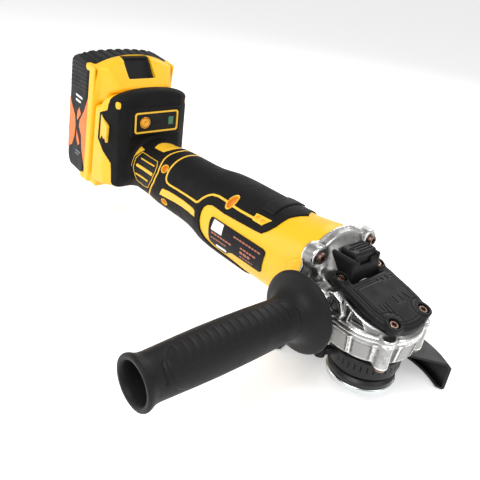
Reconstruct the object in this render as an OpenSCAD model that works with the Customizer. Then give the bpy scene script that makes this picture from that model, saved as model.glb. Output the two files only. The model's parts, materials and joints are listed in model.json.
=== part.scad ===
// Cordless angle grinder, modelled as an assembly of separate pieces.
// Millimetres. +X points to the gear head, +Z up, the side handle points to -Y.
// The origin is the centre of the spindle's lower end face.

/* [Motor and housing] */
// Height of the motor axis above the spindle end
motor_z = 60; // [60:0.5:60.5]
// Outer radius of the motor barrel
barrel_r = 30.5; // [30:0.25:31.5]
// Outer radius of the grip behind the barrel
grip_r = 25.5; // [25:0.25:26.5]
// Wall thickness of the plastic housing
wall = 3; // [2.5:0.25:3]
// Thickness of the soft overmould over the grip
skin = 1.6; // [1.2:0.1:1.8]

/* [Gear head] */
// Radius of the gear case nose around the spindle
nose_r = 29.5; // [29:0.25:30.5]
// Slope of the top cover, in degrees
cover_slope = 15; // [14:1:16]
// Number of teeth on the bevel gear
gear_teeth = 37; // [37:1:37]
// Number of teeth on the drive pinion
pinion_teeth = 12; // [12:1:12]

/* [Spindle] */
// Radius of the M14 spindle thread
thread_r = 7; // [7:1:7]
// Outer radius of the lock nut
nut_r = 22.6; // [21:0.2:23]

/* [Guard] */
// Outer radius of the wheel guard
guard_r = 64; // [62:0.5:65]
// Lowest edge of the guard skirt
guard_low = -8; // [-9:0.5:-6]

/* [Side handle] */
// Distance of the handle's open end from the spindle axis
handle_end = 160; // [150:1:165]
// Radius of the hand flange
handle_flange_r = 26; // [24:0.5:27]

/* [Battery] */
// Half width of the battery
bat_w = 39.4; // [38:0.2:40]
// Backward tilt of the battery, in degrees
bat_tilt = 6.9; // [6.9:0.1:6.9]

/* [Hidden] */
$fn = 64;

yellow = [0.98, 0.76, 0.06];
black = [0.07, 0.07, 0.075];
alu = [0.66, 0.66, 0.65];
steel = [0.74, 0.75, 0.77];
copper = [0.72, 0.42, 0.25];
orange = [0.93, 0.42, 0.12];

front_z = motor_z; // centre of the front ring
front_r = 32;      // radius of the front ring
corner_z = [83.4, 38.5]; // heights of the gear case corner screws
case_top = 63.5;   // height of the sloped casting face on the spindle axis
bx = -304;         // battery reference point, along X
bz = 87;           // battery reference point, along Z
pin_x = -11;       // lock pin place
pin_y = 10.8;
lever_x = -15;     // guard lever pivot
lever_y = -27.5;
gear_pitch_r = 22;
pinion_pitch_r = gear_pitch_r * pinion_teeth / gear_teeth;
handle_x = -23;
handle_z = 57;

// ---------- helpers ----------
// Cylinder along X
module xcyl(x0, x1, r, z, y = 0) translate([x0, y, z]) rotate([0, 90, 0]) cylinder(h = x1 - x0, r = r);
// Cylinder along -Y, from distance s0 to s1
module ycyl(s0, s1, r, x, z) translate([x, -s0, z]) rotate([90, 0, 0]) cylinder(h = s1 - s0, r = r);
// Solid of revolution about an axis along -X, points are [radius, distance back]
module rev(z, pts) translate([0, 0, z]) rotate([0, -90, 0]) rotate_extrude($fn = 96) polygon(pts);
module box(a, b) translate(a) cube([b[0] - a[0], b[1] - a[1], b[2] - a[2]]);
// Profile in the XZ plane, extruded between y0 and y1
module yprism(pts, y0, y1) translate([0, y1, 0]) rotate([90, 0, 0]) linear_extrude(height = y1 - y0) polygon(pts);
// Frame of the sloped cover
module slope() translate([0, 0, case_top]) rotate([0, cover_slope, 0]) children();
// Frame of the tilted battery: local z is the slide direction, local -x is the back
module bat() translate([bx, 0, bz]) rotate([0, bat_tilt, 0]) children();
function bpt(p) = [bx + p[0] * cos(bat_tilt) + p[1] * sin(bat_tilt), bz - p[0] * sin(bat_tilt) + p[1] * cos(bat_tilt)];
module right_half() intersection() { children(); box([-400, -200, -50], [100, 0, 250]); }
module left_half() intersection() { children(); box([-400, 0, -50], [100, 200, 250]); }
module rounded_rect(w, h, r) {
  square([w - 2 * r, h], center = true);
  square([w, h - 2 * r], center = true);
  for (i = [-1, 1], j = [-1, 1]) translate([i * (w / 2 - r), j * (h / 2 - r)]) circle(r = r, $fn = 32);
}

// ---------- housing form ----------
// Outer form of the barrel and grip, shrunk by d
module body_form(d, back = 262) rev(motor_z, [[0, 42], [front_r - d, 42], [front_r - d, 48], [barrel_r - d, 60], [barrel_r - d, 150],
  [grip_r - d, 166], [grip_r - d, 216], [23 - d, 232], [23 - d, back], [0, back]]);
// Side view of the foot that carries the battery
foot_side = [[-250, 50], [-257, 41], bpt([13.3, -52]), bpt([13.3, 22]), bpt([21, 26]), [-262, 127], [-253, 124], [-250, 116]];
foot_side_core = [[-250 - skin, 51], [-258, 41 + skin], [-310, 31.6 + skin], [-300, 98], [-278.9, 109], [-262.1, 125], [-254, 122.4], [-250 - skin, 115.5]];
module foot_plan(d, back = -320) linear_extrude(height = 300) polygon([[-250 - d, -25 + d], [-272, -39.4 + d], [back, -39.4 + d], [back, 39.4 - d], [-272, 39.4 - d], [-250 - d, 25 - d]]);
module foot_form() intersection() {
  yprism(foot_side, -60, 60);
  foot_plan(0);
}
foot_in = [[-254, 52], [-259, 45], bpt([27, -42]), bpt([27, 20]), [-266, 119], [-257, 117], [-254, 114]];
module foot_cavity() intersection() {
  yprism(foot_in, -36, 36);
  foot_plan(4.2);
}
// T-shaped channel in the back of the foot that the battery rails run in
module channel(c) bat() {
  translate([12 - c, -20 - c, -29]) cube([5 + 2 * c, 40 + 2 * c, 80]);
  translate([16.5 - c, -25 - c, -29]) cube([4 + 2 * c, 50 + 2 * c, 80]);
  translate([16.6, -15.3, -40.3]) cube([13, 30.6, 34.6]);
}
// Where the black skin of the foot lies
module foot_black() yprism([[-262, 30], [-273, 38.3], [-263, 62], [-281, 80], [-277.5, 104], [-268, 108], [-262.5, 130], [-200, 130], [-200, 30]], -60, 60);
module foot_core() intersection() {
  yprism(foot_side_core, -60, 60);
  foot_plan(skin, -330);
}
// The region of the barrel and grip that is covered by the overmould
module skin_zone() {
  yprism([[-249.9, 30], [-249.9, 100], [-64, 100], [-76, 74], [-128, 70], [-146, 76], [-150, 62], [-158, 30]], -60, 60);
}
// Band around the grip, between d0 and d1 below the surface
module skin_band(d0, d1) intersection() {
  rev(motor_z, [[front_r - d1 - 3, 60], [barrel_r - d1, 61], [barrel_r - d1, 150], [grip_r - d1, 166], [grip_r - d1, 216], [23 - d1, 232], [23 - d1, 253],
    [23 - d0, 253], [23 - d0, 232], [grip_r - d0, 216], [grip_r - d0, 166], [barrel_r - d0, 150], [barrel_r - d0, 61], [front_r - d0 - 1.4, 60]]);
  skin_zone();
}
module housing_shell() difference() {
  union() {
    difference() {
      union() {
        difference() {
          body_form(0, 254.5);
          skin_band(-1, skin);
        }
        difference() {
          foot_form();
          difference() { foot_black(); foot_core(); }
        }
      }
      body_form(wall, 258);
      foot_cavity();
      channel(0.4);
    }
    // screw pillars between the two halves
    for (p = screw_pts) translate([p[0], -p[2] - 0.2, p[1]]) rotate([-90, 0, 0]) cylinder(h = 2 * p[2] + 0.4, r = 3.2, $fn = 32);
    // rings that hold the stator
    rev(motor_z, [[23.05, 84], [barrel_r - wall + 0.6, 84], [barrel_r - wall + 0.6, 86], [23.05, 86]]);
    rev(motor_z, [[23.05, 106], [barrel_r - wall + 0.6, 106], [barrel_r - wall + 0.6, 108], [23.05, 108]]);
  }
  // notch for the switch rod
  box([-109, -4.2, 82.6], [-83, 4.2, 86.9]);
  switch_slot(0);
  box([-254, -21.5, 91], [-240, 21.5, 109]);
  // openings for cooling air beside the neck
  for (s = [-1, 1], k = [0:2]) translate([-236, s * 22, 53 + k * 7]) cube([14, 12, 3.2], center = true);
  // screw bores
  for (p = screw_pts) translate([p[0], -p[2], p[1]]) rotate([90, 0, 0]) cylinder(h = 60, r = 3.4, $fn = 24);
  for (p = screw_pts) translate([p[0], 10, p[1]]) rotate([90, 0, 0]) cylinder(h = 60, r = 1.6, $fn = 24);
}
// Screw places: x, z, distance of the head's seat from the middle plane
screw_pts = [[-141, 79, 18.4], [-212, 76, 14.2], [-206, 44, 14.2]];
module switch_slot(c) {
  box([-104 - c, -7 - c, 80], [-76 + c, 7 + c, 100]);
}

module housing_right() color(yellow) right_half() housing_shell();
module housing_left() color(yellow) left_half() housing_shell();

module grip_skin() difference() {
  skin_band(0, skin);
  switch_slot(2);
  for (s = [-1, 1]) box_vent(s);
  for (p = screw_pts) translate([p[0], -10, p[1]]) rotate([90, 0, 0]) cylinder(h = 60, r = 4.2, $fn = 32);
}
module box_vent(s) box([-246, s > 0 ? 5 : -40, 48], [-226, s > 0 ? 40 : -5, 72]);
module overmould_right() color(black) right_half() grip_skin();
module overmould_left() color(black) left_half() grip_skin();

module foot_overmould() color(black) difference() {
  intersection() { foot_form(); foot_black(); }
  foot_core();
  xcyl(-260, -240, 23, motor_z);
  channel(0.4);
  box([-254, -21.5, 91], [-240, 21.5, 109]);
}

module housing_screws() color(steel) for (p = screw_pts) {
  translate([p[0], -p[2] - 2.6, p[1]]) rotate([-90, 0, 0]) cylinder(h = 2.6, r = 3.1, $fn = 24);
  translate([p[0], -p[2], p[1]]) rotate([-90, 0, 0]) cylinder(h = p[2] + 8, r = 1.55, $fn = 24);
}

// Black rating plate on the right side of the barrel
module rating_label() color(black) intersection() {
  difference() { rev(motor_z, [[0, 74], [barrel_r + 0.5, 74], [barrel_r + 0.5, 131], [0, 131]]); rev(motor_z, [[0, 70], [barrel_r + 0.02, 70], [barrel_r + 0.02, 135], [0, 135]]); }
  yprism([[-131, 44], [-131, 66.5], [-75.5, 66.5], [-74.5, 50]], -60, 0);
}

// Slatted air inlets on both sides of the neck
module side_vents() color(black) for (s = [-1, 1]) difference() {
  intersection() {
    skin_band(0.1, skin);
    box([-245.7, s > 0 ? 5.3 : -40, 48.3], [-226.3, s > 0 ? 40 : -5.3, 71.7]);
  }
  for (k = [0:2]) translate([-236, s * 22, 53 + k * 7]) cube([14, 16, 3.2], center = true);
}

module indicator_panel() color(black) difference() {
  box([-253.5, -21.2, 91.3], [-249.6, 21.2, 108.7]);
  translate([-249.6, -11.5, 100]) rotate([0, 90, 0]) cylinder(h = 12, r = 4.1, center = true, $fn = 32);
  box([-252, 11.8, 96.4], [-249, 17.2, 103.6]);
}
module indicator_lens() color([0.3, 0.75, 0.4]) box([-252, 12, 96.6], [-249.4, 17, 103.4]);
module indicator_button() color(orange) translate([-252.2, -11.5, 100]) rotate([0, 90, 0]) {
  cylinder(h = 3.4, r = 3.8, $fn = 32);
}

// ---------- switch ----------
module slide_switch() color(black) difference() {
  union() {
    intersection() { box([-102, -6.6, 86.3], [-85, 6.6, 95]); xcyl(-120, -60, 33, motor_z); }
    translate([-93.5, 0, 84.5]) cylinder(h = 2.5, r = 1.9, $fn = 24);
  }
  for (k = [0:3]) box([-100 + k * 3.6, -8, 91], [-98.6 + k * 3.6, 8, 95]);
}
// Rod from the slide down the inside of the barrel to the switch
module switch_rod() color(steel) difference() {
  union() { box([-154, -3, 84.4], [-90, 3, 86]); box([-154, -3, 79.2], [-152, 3, 86]); box([-170, -3, 79.2], [-152, 3, 81]); }
  translate([-93.5, 0, 70]) cylinder(h = 20, r = 1.9, $fn = 24);
}
module switch_module() color([0.2, 0.2, 0.22]) {
  box([-196, -8, 63], [-180.5, 8, 76]);
  box([-186, -2.5, 76], [-182, 2.5, 79]);
}
module controller_board() color([0.1, 0.35, 0.18]) {
  box([-222, -15, 49.5], [-164, 15, 51.5]);
  for (k = [0:2]) translate([-214 + k * 9, 8, 51.5]) cylinder(h = 9, r = 3.8, $fn = 32);
  for (k = [0:5]) box([-190 + k * 4, -12, 51.5], [-188 + k * 4, -6, 54]);
}
module controller_heatsink() color(alu) difference() {
  box([-201.5, -13, 43.5], [-166, 13, 49.5]);
  for (k = [-4:4]) box([-225, k * 2.8 - 0.7, 40], [-160, k * 2.8 + 0.7, 47]);
}
module terminal_block() color(black) bat() {
  translate([22, -15, -40]) cube([4, 30, 34]);
  for (k = [-1.5:1:1.5]) translate([16.9, k * 6 - 0.4, -39]) cube([5.1, 0.8, 21]);
}

// ---------- gear head ----------
module nose_plan(r, rear) {
  circle(r = r, $fn = 96);
  polygon([[-rear, -r - 1], [-6, -r + 0.62], [0, -r + 3], [0, r - 3], [-6, r - 0.62], [-rear, r + 1]]);
}
gc_side = [[-40, 52], [40, 52], [40, case_top - 40 * tan(cover_slope)], [-27, case_top + 27 * tan(cover_slope)], [-34, 79], [-40, 84]];
module gear_case() color(alu) difference() {
  union() {
    intersection() {
      yprism(gc_side, -60, 60);
      union() {
        translate([0, 0, 52]) cylinder(h = 5, r1 = nose_r, r2 = nose_r - 1, $fn = 96);
        translate([0, 0, 57]) cylinder(h = 12, r1 = nose_r - 1, r2 = nose_r - 6, $fn = 96);
        linear_extrude(height = 100) polygon([[-40, -29], [-6, -26], [10, -22.5], [10, 22.5], [-6, 26], [-40, 29]]);
      }
    }
    // lower front rail of the parting line
    translate([0, 0, 52]) linear_extrude(height = 2.5) nose_plan(nose_r, 34);
    // round flange to the motor housing
    xcyl(-42, -35, front_r, front_z);
    for (s = [-1, 1]) {
      xcyl(-42, -32.5, 5.4, corner_z[0], s * 24.9);
      xcyl(-42, -32.5, 5.4, corner_z[1], s * 24.9);
    }
    // front screw bosses
    for (s = [-1, 1]) translate([21.9, s * 17.9, 52]) cylinder(h = 3.8, r = 4.6, $fn = 48);
    // side handle bosses
    for (s = [0, 1]) mirror([0, s, 0]) ycyl(20, 32, 11, handle_x, handle_z);
  }
  // nothing of the lower half below the parting plane in front of the flange
  box([-32.4, -60, 0], [60, 60, 52]);
  box([-34.9, -19, 0], [60, 19, 52]);
  // gear chamber
  translate([0, 0, 51]) cylinder(h = 4.9, r = 24.6, $fn = 96);
  // room for the pinion and the bearing seat
  xcyl(-34.5, -10, 8.3, motor_z);
  xcyl(-42.5, -33.9, 11, motor_z);
  // bush seat, blind from below
  translate([0, 0, 50]) cylinder(h = 12.6, r = 7.5, $fn = 64);
  // lock arm pocket and lock pin guide
  box([-31.5, 8.4, 62], [-8.2, 13.6, 90]);
  translate([pin_x, pin_y, 50]) cylinder(h = 20, r = 1.85, $fn = 32);
  // threaded holes for the side handle, on both sides
  for (s = [0, 1]) mirror([0, s, 0]) ycyl(18, 40, 4, handle_x, handle_z);
  // cover screws
  slope() for (s = [-1, 1]) {
    translate([-21, s * 18.1, -7]) cylinder(h = 10, r = 1.55, $fn = 24);
    translate([20.5, s * 15, -7]) cylinder(h = 12, r = 1.55, $fn = 24);
  }
  // screws from below
  for (s = [-1, 1]) {
    translate([21.9, s * 17.9, 51]) cylinder(h = 4.2, r = 1.8, $fn = 24);
    translate([-24, s * 22.5, 51]) cylinder(h = 1.6, r = 1.8, $fn = 24);
  }
  for (s = [-1, 1], t = [0, 1]) xcyl(-43, -30, 2.1, corner_z[t], s * 24.9);
  // recessed pocket on each flank
  for (s = [-1, 1]) translate([-4, s * 28.2, 56]) rotate([90, 0, 0]) cylinder(h = 4, r = 4.6, center = true, $fn = 6);
}
module gear_case_screws() color(copper) for (s = [-1, 1], t = [0, 1]) {
  xcyl(-32.5, -29.5, 3.6, corner_z[t], s * 24.9);
  xcyl(-42, -32.5, 2.05, corner_z[t], s * 24.9);
}
// Lower casting: neck, ball bearing seat and guard seat
module bearing_box() color(alu) difference() {
  union() {
    translate([0, 0, 18.5]) cylinder(h = 17, r = 19.3, $fn = 96);
    translate([0, 0, 34.5]) cylinder(h = 12, r1 = 26.6, r2 = nose_r - 0.8, $fn = 96);
    translate([0, 0, 46.5]) linear_extrude(height = 5.5) nose_plan(nose_r, 32.2);
    translate([0, 0, 34.5]) linear_extrude(height = 12) polygon([[-34.8, -18.8], [-32.2, -18.8], [-32.2, -26], [-4, -26], [-4, 26], [-32.2, 26], [-32.2, 18.8], [-34.8, 18.8]]);
    for (s = [-1, 1]) translate([21.9, s * 17.9, 34.5]) cylinder(h = 17.5, r = 4.6, $fn = 48);
    translate([lever_x, lever_y, 36]) cylinder(h = 12, r = 4.6, $fn = 48);
  }
  translate([0, 0, 42]) cylinder(h = 20, r = 24.6, $fn = 96);
  translate([0, 0, 24]) cylinder(h = 20, r = 16, $fn = 96);
  translate([0, 0, 10]) cylinder(h = 20, r = 12.5, $fn = 96);
  // ring groove for the retaining clip
  translate([0, 0, 33]) cylinder(h = 1.4, r = 17.2, $fn = 96);
  for (s = [-1, 1]) {
    translate([21.9, s * 17.9, 30]) cylinder(h = 30, r = 2.1, $fn = 24);
    translate([-24, s * 22.5, 30]) cylinder(h = 30, r = 2.1, $fn = 24);
  }
  // room for the heads of the lower corner screws
  for (s = [-1, 1]) xcyl(-36, -14, 4.2, corner_z[1], s * 24.9);
  // bore for the lever's pivot pin
  translate([lever_x, lever_y, 30]) cylinder(h = 11, r = 1.5, $fn = 48);
}
module bearing_box_screws() color(copper) for (s = [-1, 1]) {
  translate([21.9, s * 17.9, 32.2]) cylinder(h = 2.3, r = 3.4, $fn = 24);
  translate([21.9, s * 17.9, 34.5]) cylinder(h = 20.2, r = 1.75, $fn = 24);
  translate([-24, s * 22.5, 32.2]) cylinder(h = 2.3, r = 3.4, $fn = 24);
  translate([-24, s * 22.5, 34.5]) cylinder(h = 17.9, r = 1.75, $fn = 24);
}
module cover_plan(d) difference() {
  union() {
    translate([4.5, 0]) circle(r = 22 - d, $fn = 96);
    translate([-28 + d, -21.6 + d]) square([33, 43.2 - 2 * d]);
  }
  translate([-40, -14.3]) square([25.6, 28.6]);
}
module cover_gasket() color([0.25, 0.25, 0.25]) slope() difference() {
  linear_extrude(height = 0.8) difference() { cover_plan(0.5); translate([4.5, 0]) circle(r = 14, $fn = 64); }
  cover_screw_holes(1.7, -1, 3);
  gasket_cut();
}
module gasket_cut() translate([-30, 8.2, -3]) cube([23, 6, 6]);
module cover_screw_holes(r, z0, h) for (s = [-1, 1]) {
  translate([-21, s * 18.1, z0]) cylinder(h = h, r = r, $fn = 24);
  translate([20.5, s * 15, z0]) cylinder(h = h, r = r, $fn = 24);
}
module top_cover() color(black) slope() difference() {
  translate([0, 0, 0.8]) linear_extrude(height = 5.6) cover_plan(0);
  // hollow underside
  translate([0, 0, 0]) linear_extrude(height = 3.6) intersection() { cover_plan(2.4); translate([-14, -14]) square([33, 28]); }
  cover_screw_holes(1.75, -1, 10);
  cover_screw_holes(3.5, 4, 10);
  gasket_cut();
}
module cover_screws() color(copper) slope() {
  cover_screw_holes(3.1, 4, 1.8);
  cover_screw_holes(1.5, -6, 10);
}

// ---------- spindle lock ----------
module spindle_lock_guide() color(black) difference() {
  intersection() {
    box([-34, -13.9, 60], [-14.6, 13.9, 84.5]);
    yprism([[-34, 79.05], [-27, case_top + 27 * tan(cover_slope) + 0.02], [-14.6, case_top + 14.6 * tan(cover_slope) + 0.02], [-14.6, 79], [-17, 84.5], [-34, 84.5]], -30, 30);
  }
  box([-31, -9.6, 72.5], [-17.4, 9.6, 100]);
  box([-31, 8.4, 60], [-17.4, 12.4, 100]);
  box([-31.2, 8.3, 60], [-14, 13.5, 68.9]);
  translate([-24, 0, 60]) cylinder(h = 30, r = 3.2, $fn = 32);
}
module spindle_lock_button() color(black) difference() {
  union() {
    box([-30.6, -9.2, 79], [-17.8, 12, 88]);
    box([-30.6, 8.8, 68.4], [-17.8, 12, 79.2]);
  }
  translate([-24.2, 0, 78]) cylinder(h = 3, r = 3.4, $fn = 32);
  for (k = [0:3]) box([-28.6 + k * 2.8, -10, 87.2], [-27.4 + k * 2.8, 13, 89]);
}
module spindle_lock_pin() color(steel) {
  box([-30.6, 8.8, 66.6], [-9, 13.1, 68.4]);
  translate([pin_x, pin_y, 53.6]) cylinder(h = 13.1, r = 1.78, $fn = 32);
}
module lock_spring() color(steel) for (k = [0:4]) translate([-24.2, 0, 73 + k * 1.5]) rotate_extrude($fn = 32) translate([2.5, 0]) circle(r = 0.4, $fn = 16);

// ---------- spindle group ----------
module spindle_bearing() color(steel) translate([0, 0, 24]) difference() {
  cylinder(h = 9, r = 16, $fn = 96);
  translate([0, 0, -1]) cylinder(h = 12, r = 7.55, $fn = 96);
  translate([0, 0, 8.4]) difference() { cylinder(h = 2, r = 14); translate([0, 0, -1]) cylinder(h = 4, r = 9.5); }
  translate([0, 0, -1.4]) difference() { cylinder(h = 2, r = 14); translate([0, 0, -1]) cylinder(h = 4, r = 9.5); }
}
module bearing_circlip() color(steel) translate([0, 0, 33.05]) difference() {
  cylinder(h = 1.3, r = 17, $fn = 96);
  translate([0, 0, -1]) cylinder(h = 4, r = 14.4, $fn = 96);
  translate([12, -2, -1]) cube([10, 4, 4]);
}
module spindle_bush() color([0.72, 0.58, 0.3]) translate([0, 0, 56.2]) difference() {
  cylinder(h = 6.4, r = 7.5);
  translate([0, 0, -1]) cylinder(h = 9, r = 4.55);
}
module spindle() color(steel) rotate_extrude($fn = 96) polygon([[0, 0], [thread_r, 0], [thread_r, 4.6], [thread_r - 0.8, 4.6], [thread_r - 0.8, 5.4],
  [thread_r, 5.4], [thread_r, 11], [7.5, 11], [7.5, 33.1], [9.2, 33.1], [9.2, 35.5], [7.5, 35.5], [7.5, 45], [6, 45], [6, 54], [4.5, 54], [4.5, 62.2], [0, 62.2]]);
module bevel_gear() color([0.45, 0.45, 0.47]) {
  a = atan(gear_pitch_r / pinion_pitch_r);
  difference() {
    union() {
      translate([0, 0, 45]) cylinder(h = 2.2, r1 = 20.5, r2 = 21.4, $fn = 96);
      // root cone
      translate([0, 0, 47.2]) cylinder(h = motor_z - pinion_pitch_r - 0.95 - 47.2, r = 21.4, $fn = 96);
      translate([0, 0, 50]) cylinder(h = 3.6, r = 9.2);
      // teeth
      intersection() {
        translate([0, 0, 50]) linear_extrude(height = 6) tooth_star(gear_teeth, 23, 0.41, 0);
        difference() {
          translate([0, 0, 50]) cylinder(h = motor_z - pinion_pitch_r + 0.35 - 50, r = 22, $fn = 96);
          translate([0, 0, 49]) cylinder(h = 10, r = 17.8, $fn = 96);
        }
      }
    }
    translate([0, 0, 40]) cylinder(h = 20, r = 6);
    for (k = [0:3]) rotate([0, 0, atan2(pin_y, pin_x) + k * 90]) translate([norm([pin_x, pin_y]), 0, 40]) cylinder(h = 20, r = 2.15, $fn = 32);
  }
}
// Star of n thin radial teeth, each filling part f of the pitch
module tooth_star(n, r, f, phase) for (k = [0:n - 1]) rotate((k + phase) * 360 / n) polygon([[0, 0], [r, -r * tan(180 * f / n)], [r, r * tan(180 * f / n)]]);
module inner_flange() color(black) translate([0, 0, 11]) difference() {
  union() { cylinder(h = 2.6, r = 22, $fn = 96); cylinder(h = 6.8, r = 18.2, $fn = 96); translate([0, 0, 2.6]) cylinder(h = 2.2, r1 = 22, r2 = 20, $fn = 96); }
  translate([0, 0, -1]) cylinder(h = 10, r = 7.5);
}
module lock_nut() color(steel) translate([0, 0, -0.3]) difference() {
  union() {
    translate([0, 0, 6]) cylinder(h = 1, r1 = nut_r - 0.8, r2 = nut_r, $fn = 96);
    translate([0, 0, 7]) cylinder(h = 3.4, r = nut_r, $fn = 96);
    translate([0, 0, 10.4]) cylinder(h = 0.6, r1 = nut_r, r2 = nut_r - 0.5, $fn = 96);
    translate([0, 0, 5.5]) cylinder(h = 2, r = 15);
  }
  translate([0, 0, 4]) cylinder(h = 10, r = thread_r + 0.06, $fn = 96);
  for (k = [0:3]) rotate([0, 0, 45 + k * 90]) translate([11, 0, 4]) cylinder(h = 4, r = 2.2, $fn = 32);
  translate([0, 0, 9.8]) difference() { cylinder(h = 2, r = 20, $fn = 96); translate([0, 0, -1]) cylinder(h = 4, r = 12, $fn = 96); }
}

// ---------- guard ----------
guard_dir = 126.5;  // direction of the guard's middle
module guard_side() rotate([0, 0, guard_dir]) box([20.6, -100, -20], [100, 100, 60]);
module wheel_guard() color(black) difference() {
  union() {
    // collar round the neck
    rotate_extrude($fn = 96) polygon([[19.7, 18.8], [22.2, 18.8], [22.2, 22], [23, 22.4], [23, 30.4], [22.4, 31], [19.7, 31]]);
    intersection() {
      guard_side();
      rotate_extrude($fn = 128) polygon([[20.2, 18.9], [27, 18.9], [34, 12.2], [guard_r - 3.5, 12.2], [guard_r - 1.8, 10], [guard_r - 1.8, guard_low + 1.8], [guard_r - 5.5, guard_low + 3],
        [guard_r - 6, guard_low + 1.4], [guard_r - 1.4, guard_low], [guard_r, guard_low + 1.4], [guard_r, 11], [guard_r - 3, 14], [35, 14], [28, 20.7], [20.2, 20.7]]);
    }
  }
  // ratchet teeth
  for (k = [0:35]) rotate([0, 0, k * 10]) translate([23.6, 0, 26]) rotate([0, 0, 45]) cube([1.6, 1.6, 4], center = true);
}
module guard_release_lever() color(black) translate([lever_x, lever_y, 22.4]) difference() {
  union() {
    cylinder(h = 6.8, r = 3.6, $fn = 48);
    translate([-16, -3, 0]) cube([16, 5.4, 6.8]);
    translate([-17.5, -5, 0]) cube([4, 8, 6.8]);
    rotate([0, 0, atan2(-lever_y, -lever_x)]) translate([0, -2, 1]) cube([7.6, 4, 4.8]);
  }
  translate([0, 0, -5]) cylinder(h = 30, r = 1.56, $fn = 48);
}
module lever_pin() color(steel) translate([lever_x, lever_y, 21.4]) { cylinder(h = 19.6, r = 1.5, $fn = 48); cylinder(h = 0.7, r = 2.6, $fn = 32); }
module lever_spring() color(steel) translate([lever_x, lever_y, 29.6]) difference() { cylinder(h = 4.7, r = 3, $fn = 32); translate([0, 0, -1]) cylinder(h = 8, r = 2, $fn = 32); }

// ---------- motor ----------
module rotor_shaft() color(steel) {
  xcyl(-147, -17.4, 3.5, motor_z);
}
module rotor_core() color([0.4, 0.4, 0.42]) difference() { xcyl(-116, -76, 11.5, motor_z); xcyl(-200, 0, 3.5, motor_z); }
module cooling_fan() color(black) difference() {
  union() {
    xcyl(-66, -63.5, 21.5, motor_z);
    xcyl(-66, -54, 6.5, motor_z);
    for (k = [0:10]) translate([-65, 0, motor_z]) rotate([k * 360 / 11, 0, 0]) translate([0, 6, -0.7]) cube([11, 15, 1.4]);
  }
  xcyl(-200, 0, 3.5, motor_z);
}
module drive_pinion() color([0.5, 0.5, 0.52]) difference() {
  union() {
    xcyl(-32, -22.5, 5.6, motor_z);
    translate([-22.6, 0, motor_z]) rotate([0, 90, 0]) cylinder(h = 4.8, r1 = pinion_pitch_r - 0.9, r2 = pinion_pitch_r - 2.1, $fn = 64);
    intersection() {
      translate([-22, 0, motor_z]) rotate([0, 90, 0]) cylinder(h = 4.2, r1 = pinion_pitch_r + 0.5, r2 = pinion_pitch_r - 0.85, $fn = 64);
      translate([-24, 0, motor_z]) rotate([0, 90, 0]) linear_extrude(height = 8) tooth_star(pinion_teeth, 9, 0.36, 0);
    }
  }
  xcyl(-60, 0, 3.5, motor_z);
}
module ball_bearing_x(x0, x1, ro, ri) difference() {
  xcyl(x0, x1, ro, motor_z);
  xcyl(x0 - 1, x1 + 1, ri, motor_z);
  difference() { xcyl(x1 - 0.6, x1 + 1, ro - 1.6, motor_z); xcyl(x0 - 2, x1 + 2, ri + 1.6, motor_z); }
  difference() { xcyl(x0 - 1, x0 + 0.6, ro - 1.6, motor_z); xcyl(x0 - 2, x1 + 2, ri + 1.6, motor_z); }
}
module motor_front_bearing() color(steel) ball_bearing_x(-41, -34, 11, 3.55);
module motor_rear_bearing() color(steel) ball_bearing_x(-140, -134, 9.5, 3.55);
module stator_core() color([0.35, 0.35, 0.37]) difference() {
  xcyl(-114, -78, 23, motor_z);
  xcyl(-120, -70, 12.2, motor_z);
  for (k = [0:5]) translate([-96, 0, motor_z]) rotate([k * 60 + 30, 0, 0]) translate([0, 0, 15.5]) cube([50, 5.4, 7], center = true);
}
module stator_windings() color(copper) for (k = [0:5]) translate([-96, 0, motor_z]) rotate([k * 60 + 30, 0, 0]) translate([0, 0, 15.5]) cube([46, 5, 6.4], center = true);
module fan_baffle() color(black) difference() {
  rev(motor_z, [[0, 68.5], [barrel_r - wall - 0.05, 68.5], [barrel_r - wall - 0.05, 71], [0, 71]]);
  xcyl(-80, -60, 16, motor_z);
}
module motor_end_cap() color(black) difference() {
  union() { xcyl(-141.5, -132, 12.5, motor_z); intersection() { xcyl(-133.5, -131, 24, motor_z); rev(motor_z, [[0, 120], [barrel_r - wall - 0.05, 120], [barrel_r - wall - 0.05, 145], [0, 145]]); } }
  xcyl(-140, -133.9, 9.5, motor_z);
  xcyl(-150, -120, 4.2, motor_z);
  xcyl(-134, -120, 9.5, motor_z);
}

// ---------- side handle ----------
module handle_grip() color(black) translate([handle_x, 0, handle_z]) rotate([90, 0, 0]) difference() {
  rotate_extrude($fn = 96) polygon([[0, 33.2], [11, 33.2], [11, 42], [24.5, 45], [handle_flange_r, 46.5], [handle_flange_r, 48.5], [24.5, 50.5], [16, 55], [13.4, 61], [13.3, 66],
    [14, 85], [14.1, 115], [13.2, 142], [12.9, 150], [13.4, handle_end - 6], [15, handle_end - 2.5], [15, handle_end - 0.6], [14.3, handle_end],
    [12.2, handle_end], [11, handle_end - 3], [10.8, 92], [4.55, 90], [0, 90]]);
  translate([0, 0, 20]) cylinder(h = 100, r = 4.5, $fn = 64);
  translate([0, 0, 78]) cylinder(h = 30, r = 7.6, $fn = 6);
}
module handle_stud() color(steel) translate([handle_x, 0, handle_z]) rotate([90, 0, 0]) {
  translate([0, 0, 19.5]) cylinder(h = 13.7, r = 3.93, $fn = 64);
  translate([0, 0, 33.2]) cylinder(h = 45, r = 4.5, $fn = 64);
  translate([0, 0, 78]) cylinder(h = 6.5, r = 7.4, $fn = 6);
}
module handle_washer() color(steel) translate([handle_x, 0, handle_z]) rotate([90, 0, 0]) difference() {
  translate([0, 0, 32.3]) cylinder(h = 0.9, r = 9, $fn = 64);
  translate([0, 0, 30]) cylinder(h = 5, r = 3.95, $fn = 64);
}

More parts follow.
